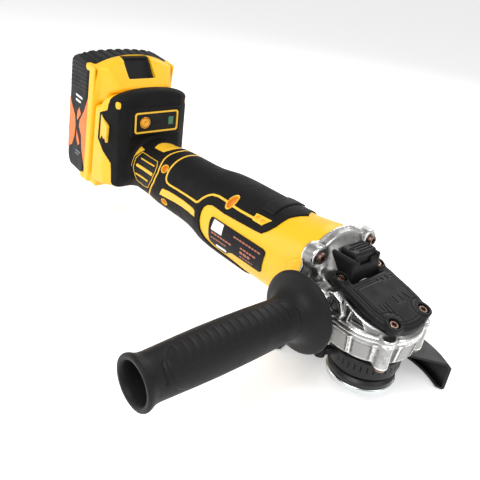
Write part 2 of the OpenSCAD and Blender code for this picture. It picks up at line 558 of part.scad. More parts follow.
// ---------- battery, in its own tilted frame ----------
module bprism(pts, y0, y1) bat() translate([0, y1, 0]) rotate([90, 0, 0]) linear_extrude(height = y1 - y0) polygon(pts);
case_pts = [[4, -54.5], [-26, -54.5], [-36.1, -43], [-36.1, 44], [-30, 52], [-21, 53], [-20, 58], [4, 58]];
case_in = [[6, -52], [-25, -52], [-33.6, -42], [-33.6, 43], [-28.6, 49.5], [-19, 50.5], [-18, 55.5], [6, 55.5]];
module battery_case() color(black) difference() {
  union() {
    intersection() { bprism(case_pts, -bat_w, bat_w); bat() translate([0, 0, 0]) linear_extrude(height = 200, center = true) polygon([[10, -bat_w], [-30, -bat_w], [-36.1, -bat_w + 6], [-36.1, bat_w - 6], [-30, bat_w], [10, bat_w]]); }
  }
  bprism(case_in, -bat_w + 2.5, bat_w - 2.5);
  for (s = [-1, 1], z = [-46, 46]) bat() translate([-60, s * 34.6, z]) rotate([0, 90, 0]) cylinder(h = 60, r = 1.9, $fn = 24);
  for (s = [-1, 1], z = [-46, 46]) bat() translate([-60, s * 34.6, z]) rotate([0, 90, 0]) cylinder(h = 33, r = 2.4, $fn = 24);
}
shell_pts = [[4.05, -54.5], [4.05, 58], [10, 62], [22, 62], [30, 45], [30, 40], [22, 34], [21, 27.5], [13, 23], [13, -54.5]];
shell_in = [[2, -52], [2, 55.5], [10, 59], [18.6, 59], [18.6, 36], [10.5, 24.5], [10.5, -52]];
module battery_shell() color(yellow) difference() {
  union() {
    intersection() {
      bprism(shell_pts, -bat_w, bat_w);
      bat() linear_extrude(height = 200, center = true) polygon([[0, -bat_w - 1], [13, -bat_w - 1], [13, -33], [31, -24], [31, 24], [13, 33], [13, bat_w + 1], [0, bat_w + 1]]);
    }
    // side rails
    for (s = [0, 1]) mirror([0, s, 0]) bat() translate([4.05, bat_w - 0.05, -54.5]) cube([8, 1, 112.5]);
    // sliding block with its two flanges
    bat() translate([12.9, -20, -28]) cube([3.9, 40, 53]);
    bat() translate([16.7, -25, -28]) cube([3.7, 50, 53]);
  }
  bprism(shell_in, -bat_w + 2.5, bat_w - 2.5);
  // contact slots
  bat() for (k = [-1.5:1:1.5]) translate([12, k * 6 - 0.9, -30]) cube([10, 1.8, 16]);
  bat() translate([8, -14, -27]) cube([4.9, 28, 32]);
  button_hole(0);
}
module button_hole(c) bat() translate([24, 0, 51]) rotate([0, -25, 0]) translate([-10, -12.5 + c, -9 + c]) cube([20, 25 - 2 * c, 18 - 2 * c]);
module battery_release_button() color(black) bat() translate([24, 0, 51]) rotate([0, -25, 0]) translate([-1.2, -12.1, -8.6]) cube([3.4, 24.2, 17.2]);
module button_spring() color(steel) bat() translate([24, 0, 51]) rotate([0, -25, 0]) for (k = [0:2]) translate([-8.6 + k * 1.4, 0, 0]) rotate([0, 90, 0]) rotate_extrude($fn = 32) translate([3, 0]) circle(r = 0.4, $fn = 16);
module battery_cells() color([0.2, 0.45, 0.35]) bat() for (i = [0, 1], k = [-2:2]) translate([-23.6 + i * 19, 32.1, k * 19.4]) rotate([90, 0, 0]) cylinder(h = 64.2, r = 9.1, $fn = 48);
module battery_board() color([0.1, 0.35, 0.18]) bat() translate([5.6, -30, -42]) cube([1.6, 60, 60]);
module battery_contacts() color(copper) bat() for (k = [-1.5:1:1.5]) for (t = [-1, 1]) translate([8.2, k * 6 + t * 1.25 - 0.3, -26]) cube([4.6, 0.6, 12]);
module battery_screws() color(steel) bat() for (s = [-1, 1], z = [-46, 46]) translate([0, s * 34.6, z]) rotate([0, 90, 0]) {
  translate([0, 0, -27]) cylinder(h = 2.4, r = 2.1, $fn = 24);
  translate([0, 0, -24.6]) cylinder(h = 28.6, r = 1.8, $fn = 24);
}

housing_right();
housing_left();
overmould_right();
overmould_left();
foot_overmould();
housing_screws();
rating_label();
side_vents();
indicator_panel();
indicator_lens();
indicator_button();
slide_switch();
switch_rod();
switch_module();
controller_board();
controller_heatsink();
terminal_block();
gear_case();
gear_case_screws();
bearing_box();
bearing_box_screws();
cover_gasket();
top_cover();
cover_screws();
spindle_lock_guide();
spindle_lock_button();
spindle_lock_pin();
lock_spring();
spindle_bearing();
spindle_bush();
bearing_circlip();
spindle();
bevel_gear();
inner_flange();
lock_nut();
wheel_guard();
guard_release_lever();
lever_pin();
lever_spring();
rotor_shaft();
rotor_core();
cooling_fan();
drive_pinion();
motor_front_bearing();
motor_rear_bearing();
stator_core();
stator_windings();
fan_baffle();
motor_end_cap();
handle_grip();
handle_stud();
handle_washer();
battery_case();
battery_shell();
battery_cells();
battery_board();
battery_contacts();
battery_screws();
battery_release_button();
button_spring();
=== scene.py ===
import bpy, json, math
import numpy as np
from mathutils import Matrix, Vector


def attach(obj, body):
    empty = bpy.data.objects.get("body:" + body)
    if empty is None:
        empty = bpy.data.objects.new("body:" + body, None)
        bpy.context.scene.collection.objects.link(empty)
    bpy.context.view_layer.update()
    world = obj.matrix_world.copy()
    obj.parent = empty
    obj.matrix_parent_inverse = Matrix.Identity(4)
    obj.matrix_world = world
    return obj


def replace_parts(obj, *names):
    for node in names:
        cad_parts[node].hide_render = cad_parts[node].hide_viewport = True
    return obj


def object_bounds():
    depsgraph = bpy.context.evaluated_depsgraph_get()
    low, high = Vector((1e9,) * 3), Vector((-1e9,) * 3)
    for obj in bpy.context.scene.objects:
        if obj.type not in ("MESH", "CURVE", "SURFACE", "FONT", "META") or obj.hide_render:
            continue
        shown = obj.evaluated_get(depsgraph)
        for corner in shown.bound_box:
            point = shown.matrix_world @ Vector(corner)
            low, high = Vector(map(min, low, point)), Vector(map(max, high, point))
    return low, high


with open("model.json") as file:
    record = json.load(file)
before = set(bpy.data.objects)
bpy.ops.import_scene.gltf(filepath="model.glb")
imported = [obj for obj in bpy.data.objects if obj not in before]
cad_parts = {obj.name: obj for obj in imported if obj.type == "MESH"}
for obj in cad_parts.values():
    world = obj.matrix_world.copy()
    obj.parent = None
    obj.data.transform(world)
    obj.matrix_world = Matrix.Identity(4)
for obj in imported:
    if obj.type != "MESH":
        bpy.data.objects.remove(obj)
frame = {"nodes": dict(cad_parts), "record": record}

def plain(b):
    return [[float(v) for v in p] for p in b]

CAD_BOX = plain(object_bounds())
MM = 0.001
rad = math.radians
COL = bpy.context.scene.collection

# ---------------------------------------------------------------- mesh helpers
def make(name, verts, faces, mat, body, smooth=True, M=None, attrs=None, sharp=None):
    v = np.asarray(verts, np.float64)
    if M is not None:
        A = np.array(M)
        v = v @ A[:3, :3].T + A[:3, 3]
    v = v * MM
    me = bpy.data.meshes.new(name)
    me.from_pydata(v.tolist(), [], faces if isinstance(faces, list) else faces.tolist())
    me.validate()
    me.update()
    if smooth:
        me.polygons.foreach_set("use_smooth", np.ones(len(me.polygons), bool))
    if sharp is not None:
        me.set_sharp_from_angle(angle=rad(sharp))
    if attrs:
        for k, a in attrs.items():
            if len(a) == len(me.vertices):
                at = me.attributes.new(k, "FLOAT", "POINT")
                at.data.foreach_set("value", np.asarray(a, np.float32))
    me.materials.append(mat)
    o = bpy.data.objects.new(name, me)
    COL.objects.link(o)
    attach(o, body)
    return o

# signed distance helpers (negative inside)
def L(*a):
    return np.sqrt(sum(x * x for x in a))
def d_poly(px, py, pts):
    d = None; sg = None
    n = len(pts)
    for i in range(n):
        ax, ay = pts[i]; bx, by = pts[i - 1]
        ex, ey = bx - ax, by - ay
        wx, wy = px - ax, py - ay
        t = np.clip((wx * ex + wy * ey) / (ex * ex + ey * ey + 1e-12), 0, 1)
        q = (wx - ex * t) ** 2 + (wy - ey * t) ** 2
        c1 = py >= ay; c2 = py < by; c3 = ex * wy > ey * wx
        flip = (c1 & c2 & c3) | (~c1 & ~c2 & ~c3)
        d = q if d is None else np.minimum(d, q)
        sg = np.where(flip, -1.0, 1.0) if sg is None else np.where(flip, -sg, sg)
    return sg * np.sqrt(d)
def d_line(px, py, pts):
    d = None
    for (ax, ay), (bx, by) in zip(pts[:-1], pts[1:]):
        ex, ey = bx - ax, by - ay
        wx, wy = px - ax, py - ay
        t = np.clip((wx * ex + wy * ey) / (ex * ex + ey * ey + 1e-12), 0, 1)
        q = (wx - ex * t) ** 2 + (wy - ey * t) ** 2
        d = q if d is None else np.minimum(d, q)
    return np.sqrt(d)
def ext(d2, z, z0, z1, r=0.0):
    a = d2 + r
    b = np.abs(z - (z0 + z1) / 2) - (z1 - z0) / 2 + r
    return np.minimum(np.maximum(a, b), 0) + np.sqrt(np.maximum(a, 0) ** 2 + np.maximum(b, 0) ** 2) - r
def d_box(x, y, z, lo, hi, r=0.0):
    a = np.abs(x - (lo[0] + hi[0]) / 2) - (hi[0] - lo[0]) / 2 + r
    b = np.abs(y - (lo[1] + hi[1]) / 2) - (hi[1] - lo[1]) / 2 + r
    c = np.abs(z - (lo[2] + hi[2]) / 2) - (hi[2] - lo[2]) / 2 + r
    return np.minimum(np.maximum(a, np.maximum(b, c)), 0) + np.sqrt(np.maximum(a, 0) ** 2 + np.maximum(b, 0) ** 2 + np.maximum(c, 0) ** 2) - r
def d_cyl(a, b, ax, ca, cb, r, t0, t1, rr=0.0):
    return ext(L(a - ca, b - cb) - r, ax, t0, t1, rr)
def smin(a, b, k):
    h = np.maximum(k - np.abs(a - b), 0) / k
    return np.minimum(a, b) - h * h * k * 0.25
def smax(a, b, k):
    return -smin(-a, -b, k)
def d_plan(x, y, pts, r):
    return d_poly(x, y, pts) - r

def nets(f, lo, hi, h):
    """Surface nets of a distance field; returns points, quads and a curvature value per point."""
    n = [int(math.ceil((hi[i] - lo[i]) / h)) + 1 for i in range(3)]
    X = (lo[0] + h * np.arange(n[0])).astype(np.float32)[:, None, None]
    Y = (lo[1] + h * np.arange(n[1])).astype(np.float32)[None, :, None]
    Z = (lo[2] + h * np.arange(n[2])).astype(np.float32)[None, None, :]
    F = np.ascontiguousarray(np.broadcast_to(f(X, Y, Z), n)).astype(np.float32)
    for ax in range(3):      # close at the borders
        sl = [slice(None)] * 3
        for e in (0, -1):
            sl[ax] = e
            F[tuple(sl)] = np.maximum(F[tuple(sl)], 0.3 * h)
    F[np.abs(F) < 1e-4] = 1e-4
    S = F < 0
    cnt = np.zeros([k - 1 for k in n], np.int8)
    for i in (0, 1):
        for j in (0, 1):
            for k in (0, 1):
                cnt += S[i:n[0] - 1 + i, j:n[1] - 1 + j, k:n[2] - 1 + k]
    mixed = (cnt > 0) & (cnt < 8)
    c = np.argwhere(mixed)
    idx = -np.ones(mixed.shape, np.int64)
    idx[mixed] = np.arange(len(c))
    corner = [(i, j, k) for i in (0, 1) for j in (0, 1) for k in (0, 1)]
    V = {q: F[c[:, 0] + q[0], c[:, 1] + q[1], c[:, 2] + q[2]] for q in corner}
    acc = np.zeros((len(c), 3)); m = np.zeros(len(c))
    for a in corner:
        for ax in range(3):
            if a[ax] == 0:
                b = list(a); b[ax] = 1; b = tuple(b)
                fa, fb = V[a], V[b]
                x = (fa < 0) != (fb < 0)
                t = np.where(x, fa / np.where(x, fa - fb, 1), 0)
                for q in range(3):
                    acc[:, q] += np.where(x, a[q] + (t if q == ax else 0), 0)
                m += x
    P = (c + acc / m[:, None]) * h + np.array(lo)
    quads = []
    for ax in range(3):
        sa = [slice(1, -1)] * 3; sb = [slice(1, -1)] * 3
        sa[ax] = slice(0, -1); sb[ax] = slice(1, None)
        A, B = S[tuple(sa)], S[tuple(sb)]
        for inside_first in (True, False):
            e = np.argwhere(A & ~B) if inside_first else np.argwhere(~A & B)
            if not len(e):
                continue
            g = e + 1; g[:, ax] = e[:, ax]
            o1, o2 = (ax + 1) % 3, (ax + 2) % 3
            def cell(d1, d2):
                q = g.copy(); q[:, o1] += d1; q[:, o2] += d2
                return idx[q[:, 0], q[:, 1], q[:, 2]]
            q = np.stack([cell(-1, -1), cell(0, -1), cell(0, 0), cell(-1, 0)], 1)
            quads.append(q if inside_first else q[:, ::-1])
    Q = np.concatenate(quads)
    Q = Q[(Q >= 0).all(1)]
    # curvature from the field's Laplacian, smoothed over three cells
    Lp = np.zeros_like(F)
    s = 2
    Lp[s:-s, s:-s, s:-s] = (F[2 * s:, s:-s, s:-s] + F[:-2 * s, s:-s, s:-s] + F[s:-s, 2 * s:, s:-s] + F[s:-s, :-2 * s, s:-s]
                            + F[s:-s, s:-s, 2 * s:] + F[s:-s, s:-s, :-2 * s] - 6 * F[s:-s, s:-s, s:-s]) / (s * h) ** 2
    # K is kept as the 'edge' attribute; the materials read it to paint a highlight on convex edges and shade in concave
    # crevices
    K = Lp[c[:, 0], c[:, 1], c[:, 2]]
    K = np.clip(K * 1.0, -1, 1)
    return P, Q, K

def vol(name, f, lo, hi, h, mat, body, M=None, relax=1):
    P, Q, K = nets(f, lo, hi, h)
    for _ in range(relax):       # light tangential relaxing of the net
        A = np.zeros_like(P); w = np.zeros(len(P))
        for a, b in ((0, 1), (1, 2), (2, 3), (3, 0)):
            for p, q in ((a, b), (b, a)):
                np.add.at(A, Q[:, p], P[Q[:, q]]); np.add.at(w, Q[:, p], 1)
        P = P * 0.6 + 0.4 * A / np.maximum(w, 1)[:, None]
    return make(name, P, Q, mat, body, M=M, attrs={"edge": K})

def patch(name, field, pos, us, vs, mat, body, top=0.5, edge=0.0, bottom=-0.6, rnd=0.8, hfun=None, attrs=None, sharp=40, M=None):
    """A solid sheet on a surface pos(u, v, h) where field(u, v) is negative, with a rounded rim."""
    U, V = np.meshgrid(us, vs, indexing="ij")
    F = field(U, V).astype(float)
    F[np.abs(F) < 2e-3] = -2e-3
    I = F < 0
    nid = -np.ones(F.shape, int)
    nid[I] = np.arange(I.sum())
    uu, vv, dd = list(U[I]), list(V[I]), list(-F[I])
    cnt = I[:-1, :-1].astype(int) + I[1:, :-1] + I[1:, 1:] + I[:-1, 1:]
    full = np.argwhere(cnt == 4)
    faces = []
    if len(full):
        a, b = full[:, 0], full[:, 1]
        faces = np.stack([nid[a, b], nid[a + 1, b], nid[a + 1, b + 1], nid[a, b + 1]], 1).tolist()
    cross = {}
    def cv(p, q):
        key = (p, q) if p < q else (q, p)
        if key not in cross:
            p, q = key
            fa, fb = F[p], F[q]
            t = min(max(fa / (fa - fb), 0.04), 0.96)
            cross[key] = len(uu)
            uu.append(U[p] + (U[q] - U[p]) * t); vv.append(V[p] + (V[q] - V[p]) * t); dd.append(0.0)
        return cross[key]
    for i, j in np.argwhere((cnt > 0) & (cnt < 4)):
        i, j = int(i), int(j)
        cs = [(i, j), (i + 1, j), (i + 1, j + 1), (i, j + 1)]
        ins = [bool(I[c]) for c in cs]
        if cnt[i, j] == 2 and ins[0] == ins[2]:        # two opposite corners: two triangles
            for k in range(4):
                if ins[k]:
                    faces.append([int(nid[cs[k]]), cv(cs[k], cs[(k + 1) % 4]), cv(cs[k - 1], cs[k])])
            continue
        poly = []
        for k in range(4):
            a, b = cs[k], cs[(k + 1) % 4]
            if ins[k]:
                poly.append(int(nid[a]))
            if ins[k] != ins[(k + 1) % 4]:
                poly.append(cv(a, b))
        if len(poly) >= 3:
            faces.append(poly)
    uu = np.array(uu); vv = np.array(vv); dd = np.array(dd)
    t = np.clip(dd / rnd, 0, 1)
    ht = edge + (top - edge) * np.sqrt(np.clip(1 - (1 - t) ** 2, 0, 1))
    if hfun is not None:
        ht = hfun(uu, vv, dd, ht)
    T = np.stack(pos(uu, vv, ht), 1)
    Bt = np.stack(pos(uu, vv, (ht * 0 + bottom) if not callable(bottom) else bottom(uu, vv, dd)), 1)
    n = len(T)
    out = [list(f) for f in faces] + [[k + n for k in reversed(f)] for f in faces]
    ed = {}
    for f in faces:
        for k in range(len(f)):
            e = (f[k], f[(k + 1) % len(f)])
            ed[e] = ed.get(e, 0) + 1
    for (a, b) in ed:
        if (b, a) not in ed:
            out.append([b, a, a + n, b + n])
    P = np.concatenate([T, Bt])
    at = {"edge": np.concatenate([np.clip(1 - dd / (rnd * 2), 0, 1), np.zeros(n)])}
    # outward orientation
    c = P.mean(0)
    o = make(name, P, out, mat, body, attrs=at, sharp=sharp, M=M)
    import bmesh
    bm = bmesh.new(); bm.from_mesh(o.data); bmesh.ops.recalc_face_normals(bm, faces=bm.faces); bm.to_mesh(o.data); bm.free()
    return o

def turned(name, prof, mat, body, axis="z", c=(0, 0, 0), n=128, rmod=None, closed=True, sharp=35, smooth_prof=0, M=None):
    """Solid of revolution; prof is a closed loop of (radius, height)."""
    pr = np.array(prof, float)
    m = len(pr)
    th = np.linspace(0, 2 * np.pi, n, endpoint=False)
    Rr = np.repeat(pr[:, 0][:, None], n, 1); H = np.repeat(pr[:, 1][:, None], n, 1)
    if rmod is not None:
        Rr = Rr + rmod(H, np.repeat(th[None, :], m, 0), np.arange(m)[:, None] + 0 * H)
    a, b = Rr * np.cos(th), Rr * np.sin(th)
    if axis == "z":
        P = np.stack([c[0] + a, c[1] + b, c[2] + H], -1)
    elif axis == "x":
        P = np.stack([c[0] + H, c[1] + a, c[2] + b], -1)
    else:      # along -Y: height grows to -Y; angle 0 points to +X, 90 degrees to +Z
        P = np.stack([c[0] + a, c[1] - H, c[2] + b], -1)
    P = P.reshape(-1, 3)
    faces = []
    for i in range(m):
        k = (i + 1) % m
        if pr[i, 0] < 1e-6 and pr[k, 0] < 1e-6:
            continue
        j = np.arange(n); j2 = (j + 1) % n
        if pr[i, 0] < 1e-6:
            faces += np.stack([i * n + 0 * j, k * n + j, k * n + j2], 1).tolist()
        elif pr[k, 0] < 1e-6:
            faces += np.stack([i * n + j, k * n + 0 * j, i * n + j2], 1).tolist()
        else:
            faces += np.stack([i * n + j, k * n + j, k * n + j2, i * n + j2], 1).tolist()
    used = sorted(set(v for f in faces for v in f))
    rm = {v: q for q, v in enumerate(used)}
    P = P[used]; faces = [[rm[v] for v in f] for f in faces]
    o = make(name, P, faces, mat, body, sharp=sharp, M=M)
    import bmesh
    bm = bmesh.new(); bm.from_mesh(o.data); bmesh.ops.recalc_face_normals(bm, faces=bm.faces); bm.to_mesh(o.data); bm.free()
    return o

def rounded(prof, r, seg=5):
    """Rounds the corners of a closed profile by radius r (a number or one per corner)."""
    out = []
    n = len(prof)
    for i in range(n):
        p, a, b = np.array(prof[i], float), np.array(prof[i - 1], float), np.array(prof[(i + 1) % n], float)
        rr = r[i] if isinstance(r, (list, tuple)) else r
        da, db = a - p, b - p
        la, lb = np.linalg.norm(da), np.linalg.norm(db)
        k = min(rr, la * 0.45, lb * 0.45)
        if k < 1e-3 or p[0] < 1e-6:
            out.append(tuple(p)); continue
        s, e = p + da / la * k, p + db / lb * k
        for q in range(seg + 1):
            t = q / seg
            out.append(tuple((1 - t) ** 2 * s + 2 * t * (1 - t) * p + t * t * e))
    return out

# ---------------------------------------------------------------- materials
def new_mat(name):
    m = bpy.data.materials.new(name); m.use_nodes = True
    nt = m.node_tree
    b = nt.nodes["Principled BSDF"]
    return m, nt, b

def surface(name, color, rough=0.5, metal=0.0, vary=0.06, vscale=60.0, bump=0.06, bscale=1800.0, bump2=0.0, b2scale=200.0,
            rvar=0.12, rscale=90.0, edge_highlight_col=None, edge_rough=None, coat=0.0, aniso_axis=None, spec=None, crevice_shade=0.0):
    m, nt, b = new_mat(name)
    N, LK = nt.nodes, nt.links
    tc = N.new("ShaderNodeTexCoord")
    src = tc.outputs["Object"]
    if aniso_axis is not None:      # stretched noise for brushed metal
        mp = N.new("ShaderNodeMapping"); mp.inputs["Scale"].default_value = aniso_axis
        LK.new(src, mp.inputs["Vector"]); src2 = mp.outputs["Vector"]
    else:
        src2 = src
    n1 = N.new("ShaderNodeTexNoise"); n1.inputs["Scale"].default_value = vscale; n1.inputs["Detail"].default_value = 5
    LK.new(src, n1.inputs["Vector"])
    c0 = [max(0, c * (1 - vary)) for c in color]; c1 = [min(1, c * (1 + vary)) for c in color]
    mix = N.new("ShaderNodeMix"); mix.data_type = "RGBA"
    mix.inputs["A"].default_value = (*c0, 1); mix.inputs["B"].default_value = (*c1, 1)
    LK.new(n1.outputs["Fac"], mix.inputs["Factor"])
    colour = mix.outputs["Result"]
    n2 = N.new("ShaderNodeTexNoise"); n2.inputs["Scale"].default_value = rscale; n2.inputs["Detail"].default_value = 6
    LK.new(src2, n2.inputs["Vector"])
    mr = N.new("ShaderNodeMapRange")
    mr.inputs["From Min"].default_value = 0.3; mr.inputs["From Max"].default_value = 0.7
    mr.inputs["To Min"].default_value = max(0.03, rough - rvar); mr.inputs["To Max"].default_value = min(1, rough + rvar)
    LK.new(n2.outputs["Fac"], mr.inputs["Value"])
    rgh = mr.outputs["Result"]
    if edge_highlight_col is not None or edge_rough is not None or crevice_shade:
        at = N.new("ShaderNodeAttribute"); at.attribute_name = "edge"
        n3 = N.new("ShaderNodeTexNoise"); n3.inputs["Scale"].default_value = 350; n3.inputs["Detail"].default_value = 4
        LK.new(src, n3.inputs["Vector"])
        ad = N.new("ShaderNodeMath"); ad.operation = "MULTIPLY_ADD"; ad.inputs[1].default_value = 0.5; ad.inputs[2].default_value = -0.25
        LK.new(n3.outputs["Fac"], ad.inputs[0])
        su = N.new("ShaderNodeMath"); su.operation = "ADD"
        LK.new(at.outputs["Fac"], su.inputs[0]); LK.new(ad.outputs[0], su.inputs[1])
        e = N.new("ShaderNodeMapRange"); e.inputs["From Min"].default_value = 0.18; e.inputs["From Max"].default_value = 0.6
        LK.new(su.outputs[0], e.inputs["Value"])
        # painted highlight: convex edges and rims get a lighter colour, partly standing for polished edges
        if edge_highlight_col is not None:
            mx = N.new("ShaderNodeMix"); mx.data_type = "RGBA"; mx.inputs["B"].default_value = (*edge_highlight_col, 1)
            LK.new(e.outputs["Result"], mx.inputs["Factor"]); LK.new(colour, mx.inputs["A"]); colour = mx.outputs["Result"]
        if edge_rough is not None:
            mf = N.new("ShaderNodeMix"); mf.data_type = "FLOAT"; mf.inputs["B"].default_value = edge_rough
            LK.new(e.outputs["Result"], mf.inputs["Factor"]); LK.new(rgh, mf.inputs["A"]); rgh = mf.outputs["Result"]
        # painted shade: where the curvature attribute 'edge' (plus noise) shows a concave crevice, the colour is
        # darkened towards 0.15 of itself, standing in for the shade that falls there
        if crevice_shade:
            dm = N.new("ShaderNodeMapRange"); dm.inputs["From Min"].default_value = -0.1; dm.inputs["From Max"].default_value = -0.5
            LK.new(su.outputs[0], dm.inputs["Value"])
            ml = N.new("ShaderNodeMath"); ml.operation = "MULTIPLY"; ml.inputs[1].default_value = crevice_shade; LK.new(dm.outputs["Result"], ml.inputs[0])
            dx = N.new("ShaderNodeMix"); dx.data_type = "RGBA"; dx.inputs["B"].default_value = (color[0] * 0.15, color[1] * 0.15, color[2] * 0.15, 1)
            LK.new(ml.outputs[0], dx.inputs["Factor"]); LK.new(colour, dx.inputs["A"]); colour = dx.outputs["Result"]
    LK.new(colour, b.inputs["Base Color"])
    LK.new(rgh, b.inputs["Roughness"])
    b.inputs["Metallic"].default_value = metal
    if coat:
        b.inputs["Coat Weight"].default_value = coat; b.inputs["Coat Roughness"].default_value = 0.2
    if spec is not None:
        b.inputs["Specular IOR Level"].default_value = spec
    n4 = N.new("ShaderNodeTexNoise"); n4.inputs["Scale"].default_value = bscale; n4.inputs["Detail"].default_value = 3
    LK.new(src2, n4.inputs["Vector"])
    hsrc = n4.outputs["Fac"]
    if bump2:
        n5 = N.new("ShaderNodeTexNoise"); n5.inputs["Scale"].default_value = b2scale; n5.inputs["Detail"].default_value = 4
        LK.new(src, n5.inputs["Vector"])
        s2 = N.new("ShaderNodeMath"); s2.operation = "MULTIPLY_ADD"; s2.inputs[1].default_value = bump2 / max(bump, 1e-3)
        LK.new(n5.outputs["Fac"], s2.inputs[0]); LK.new(hsrc, s2.inputs[2]); hsrc = s2.outputs[0]
    bp = N.new("ShaderNodeBump"); bp.inputs["Strength"].default_value = min(1.0, bump * 6); bp.inputs["Distance"].default_value = 0.0002
    LK.new(hsrc, bp.inputs["Height"]); LK.new(bp.outputs["Normal"], b.inputs["Normal"])
    return m

M_yel = surface("yellow_moulded", (0.92, 0.515, 0.007), 0.36, vary=0.035, vscale=45, bump=0.035, bscale=2600, rvar=0.07)
M_yel2 = surface("yellow_stripe", (0.90, 0.52, 0.03), 0.34, vary=0.03, vscale=60, bump=0.03, bscale=2400, rvar=0.06)
M_org = surface("recess_orange", (0.75, 0.27, 0.01), 0.45, vary=0.08, vscale=80, bump=0.04, bscale=2000)
M_rub = surface("soft_black_rubber", (0.0062, 0.0062, 0.0064), 0.60, vary=0.2, vscale=120, bump=0.10, bscale=3200, rvar=0.08, spec=0.14)
M_blk = surface("black_moulded", (0.0085, 0.0085, 0.0088), 0.46, vary=0.18, vscale=90, bump=0.07, bscale=2800, rvar=0.09, spec=0.18)
M_cover = surface("black_cover", (0.0085, 0.0085, 0.009), 0.50, vary=0.2, vscale=60, bump=0.06, bscale=2400, bump2=0.04, b2scale=260, rvar=0.10, spec=0.14, edge_highlight_col=(0.016, 0.016, 0.017), edge_rough=0.32)
M_hand = surface("grip_black", (0.0085, 0.0082, 0.0085), 0.50, vary=0.2, vscale=70, bump=0.07, bscale=2600, rvar=0.08, spec=0.2)
M_guard = surface("guard_coated", (0.010, 0.010, 0.0105), 0.40, vary=0.18, vscale=70, bump=0.05, bscale=1500, bump2=0.05, b2scale=420, rvar=0.1, spec=0.28)
# cast aluminium with a painted highlight on its edges and painted shade darkening its crevices
M_alu = surface("cast_aluminium_metal", (0.33, 0.327, 0.32), 0.36, metal=1.0, vary=0.16, vscale=70, bump=0.06, bscale=1400, bump2=0.12, b2scale=330, rvar=0.12, rscale=160,
                edge_highlight_col=(0.78, 0.78, 0.77), edge_rough=0.18, crevice_shade=0.75)
M_zinc = surface("zinc_bright", (0.62, 0.64, 0.65), 0.20, metal=1.0, vary=0.06, vscale=90, bump=0.03, bscale=900, rvar=0.07, aniso_axis=(1, 1, 14))
M_steel = surface("steel_ground", (0.60, 0.60, 0.61), 0.30, metal=1.0, vary=0.1, vscale=100, bump=0.04, bscale=900, rvar=0.1)
M_screw = surface("screw_bronzed", (0.20, 0.13, 0.105), 0.30, metal=1.0, vary=0.25, vscale=300, bump=0.05, bscale=1500, rvar=0.1, edge_highlight_col=(0.42, 0.31, 0.26), edge_rough=0.2)
M_cop = surface("copper_wound", (0.62, 0.27, 0.12), 0.32, metal=1.0, vary=0.2, vscale=500, bump=0.2, bscale=2500, aniso_axis=(0.1, 3, 3))
M_pcb = surface("board_lacquer", (0.02, 0.13, 0.045), 0.35, vary=0.2, vscale=200, bump=0.05, bscale=2000)
M_iron = surface("laminated_iron_sheets", (0.14, 0.14, 0.15), 0.42, metal=0.9, vary=0.25, vscale=150, bump=0.2, bscale=2600, aniso_axis=(6, 0.4, 0.4))
M_bron = surface("sintered_bronze", (0.42, 0.27, 0.10), 0.45, metal=1.0, vary=0.2, vscale=400, bump=0.1, bscale=2600)
M_cell = surface("cell_wrap_green", (0.02, 0.18, 0.13), 0.3, vary=0.1, vscale=60, bump=0.03, bscale=1500)
M_lens = surface("lens_green", (0.03, 0.16, 0.07), 0.22, vary=0.1, vscale=400, bump=0.02, bscale=1500)
M_amber = surface("button_amber", (0.85, 0.38, 0.02), 0.32, vary=0.08, vscale=300, bump=0.03, bscale=1800)
M_label = surface("label_foil", (0.010, 0.008, 0.010), 0.42, vary=0.15, vscale=80, bump=0.02, bscale=1200, rvar=0.06, spec=0.14)
M_white = surface("label_white", (0.86, 0.86, 0.86), 0.35, vary=0.03, vscale=80, bump=0.02, bscale=1200)
M_print = surface("label_print", (0.42, 0.13, 0.07), 0.4, vary=0.25, vscale=900, bump=0.02, bscale=1200)
M_grey = surface("print_grey", (0.16, 0.16, 0.17), 0.4, vary=0.3, vscale=900, bump=0.02, bscale=1200)
M_graph = surface("graphic_orange", (0.84, 0.17, 0.012), 0.34, vary=0.06, vscale=50, bump=0.03, bscale=2000)
M_dark = surface("dark_steel", (0.016, 0.016, 0.017), 0.38, metal=0.4, vary=0.2, vscale=100, bump=0.05, bscale=1400, rvar=0.1)

SLOT_MAT = {"yellow_plastic": M_yel, "soft_black": M_rub, "label_black": M_label, "black_plastic": M_blk, "green_lens": M_lens, "orange_plastic": M_amber,
            "plain_steel": M_steel, "zinc_steel": M_zinc, "blackened_steel": M_dark, "screw_steel": M_screw, "guard_black": M_guard, "cast_aluminium": M_alu,
            "gasket_rubber": M_rub, "bronze": M_bron, "laminated_iron": M_iron, "copper_wire": M_cop, "circuit_green": M_pcb, "cell_wrap": M_cell}
node_slot = {s["node"]: s.get("material_slot") for s in frame["record"].get("subparts", [])}
for n, o in frame["nodes"].items():
    m = SLOT_MAT.get(node_slot.get(n), M_blk)
    o.data.materials.clear(); o.data.materials.append(m)
frame["nodes"]["handle_grip"].data.materials[0] = M_hand
frame["nodes"]["top_cover"].data.materials[0] = M_cover

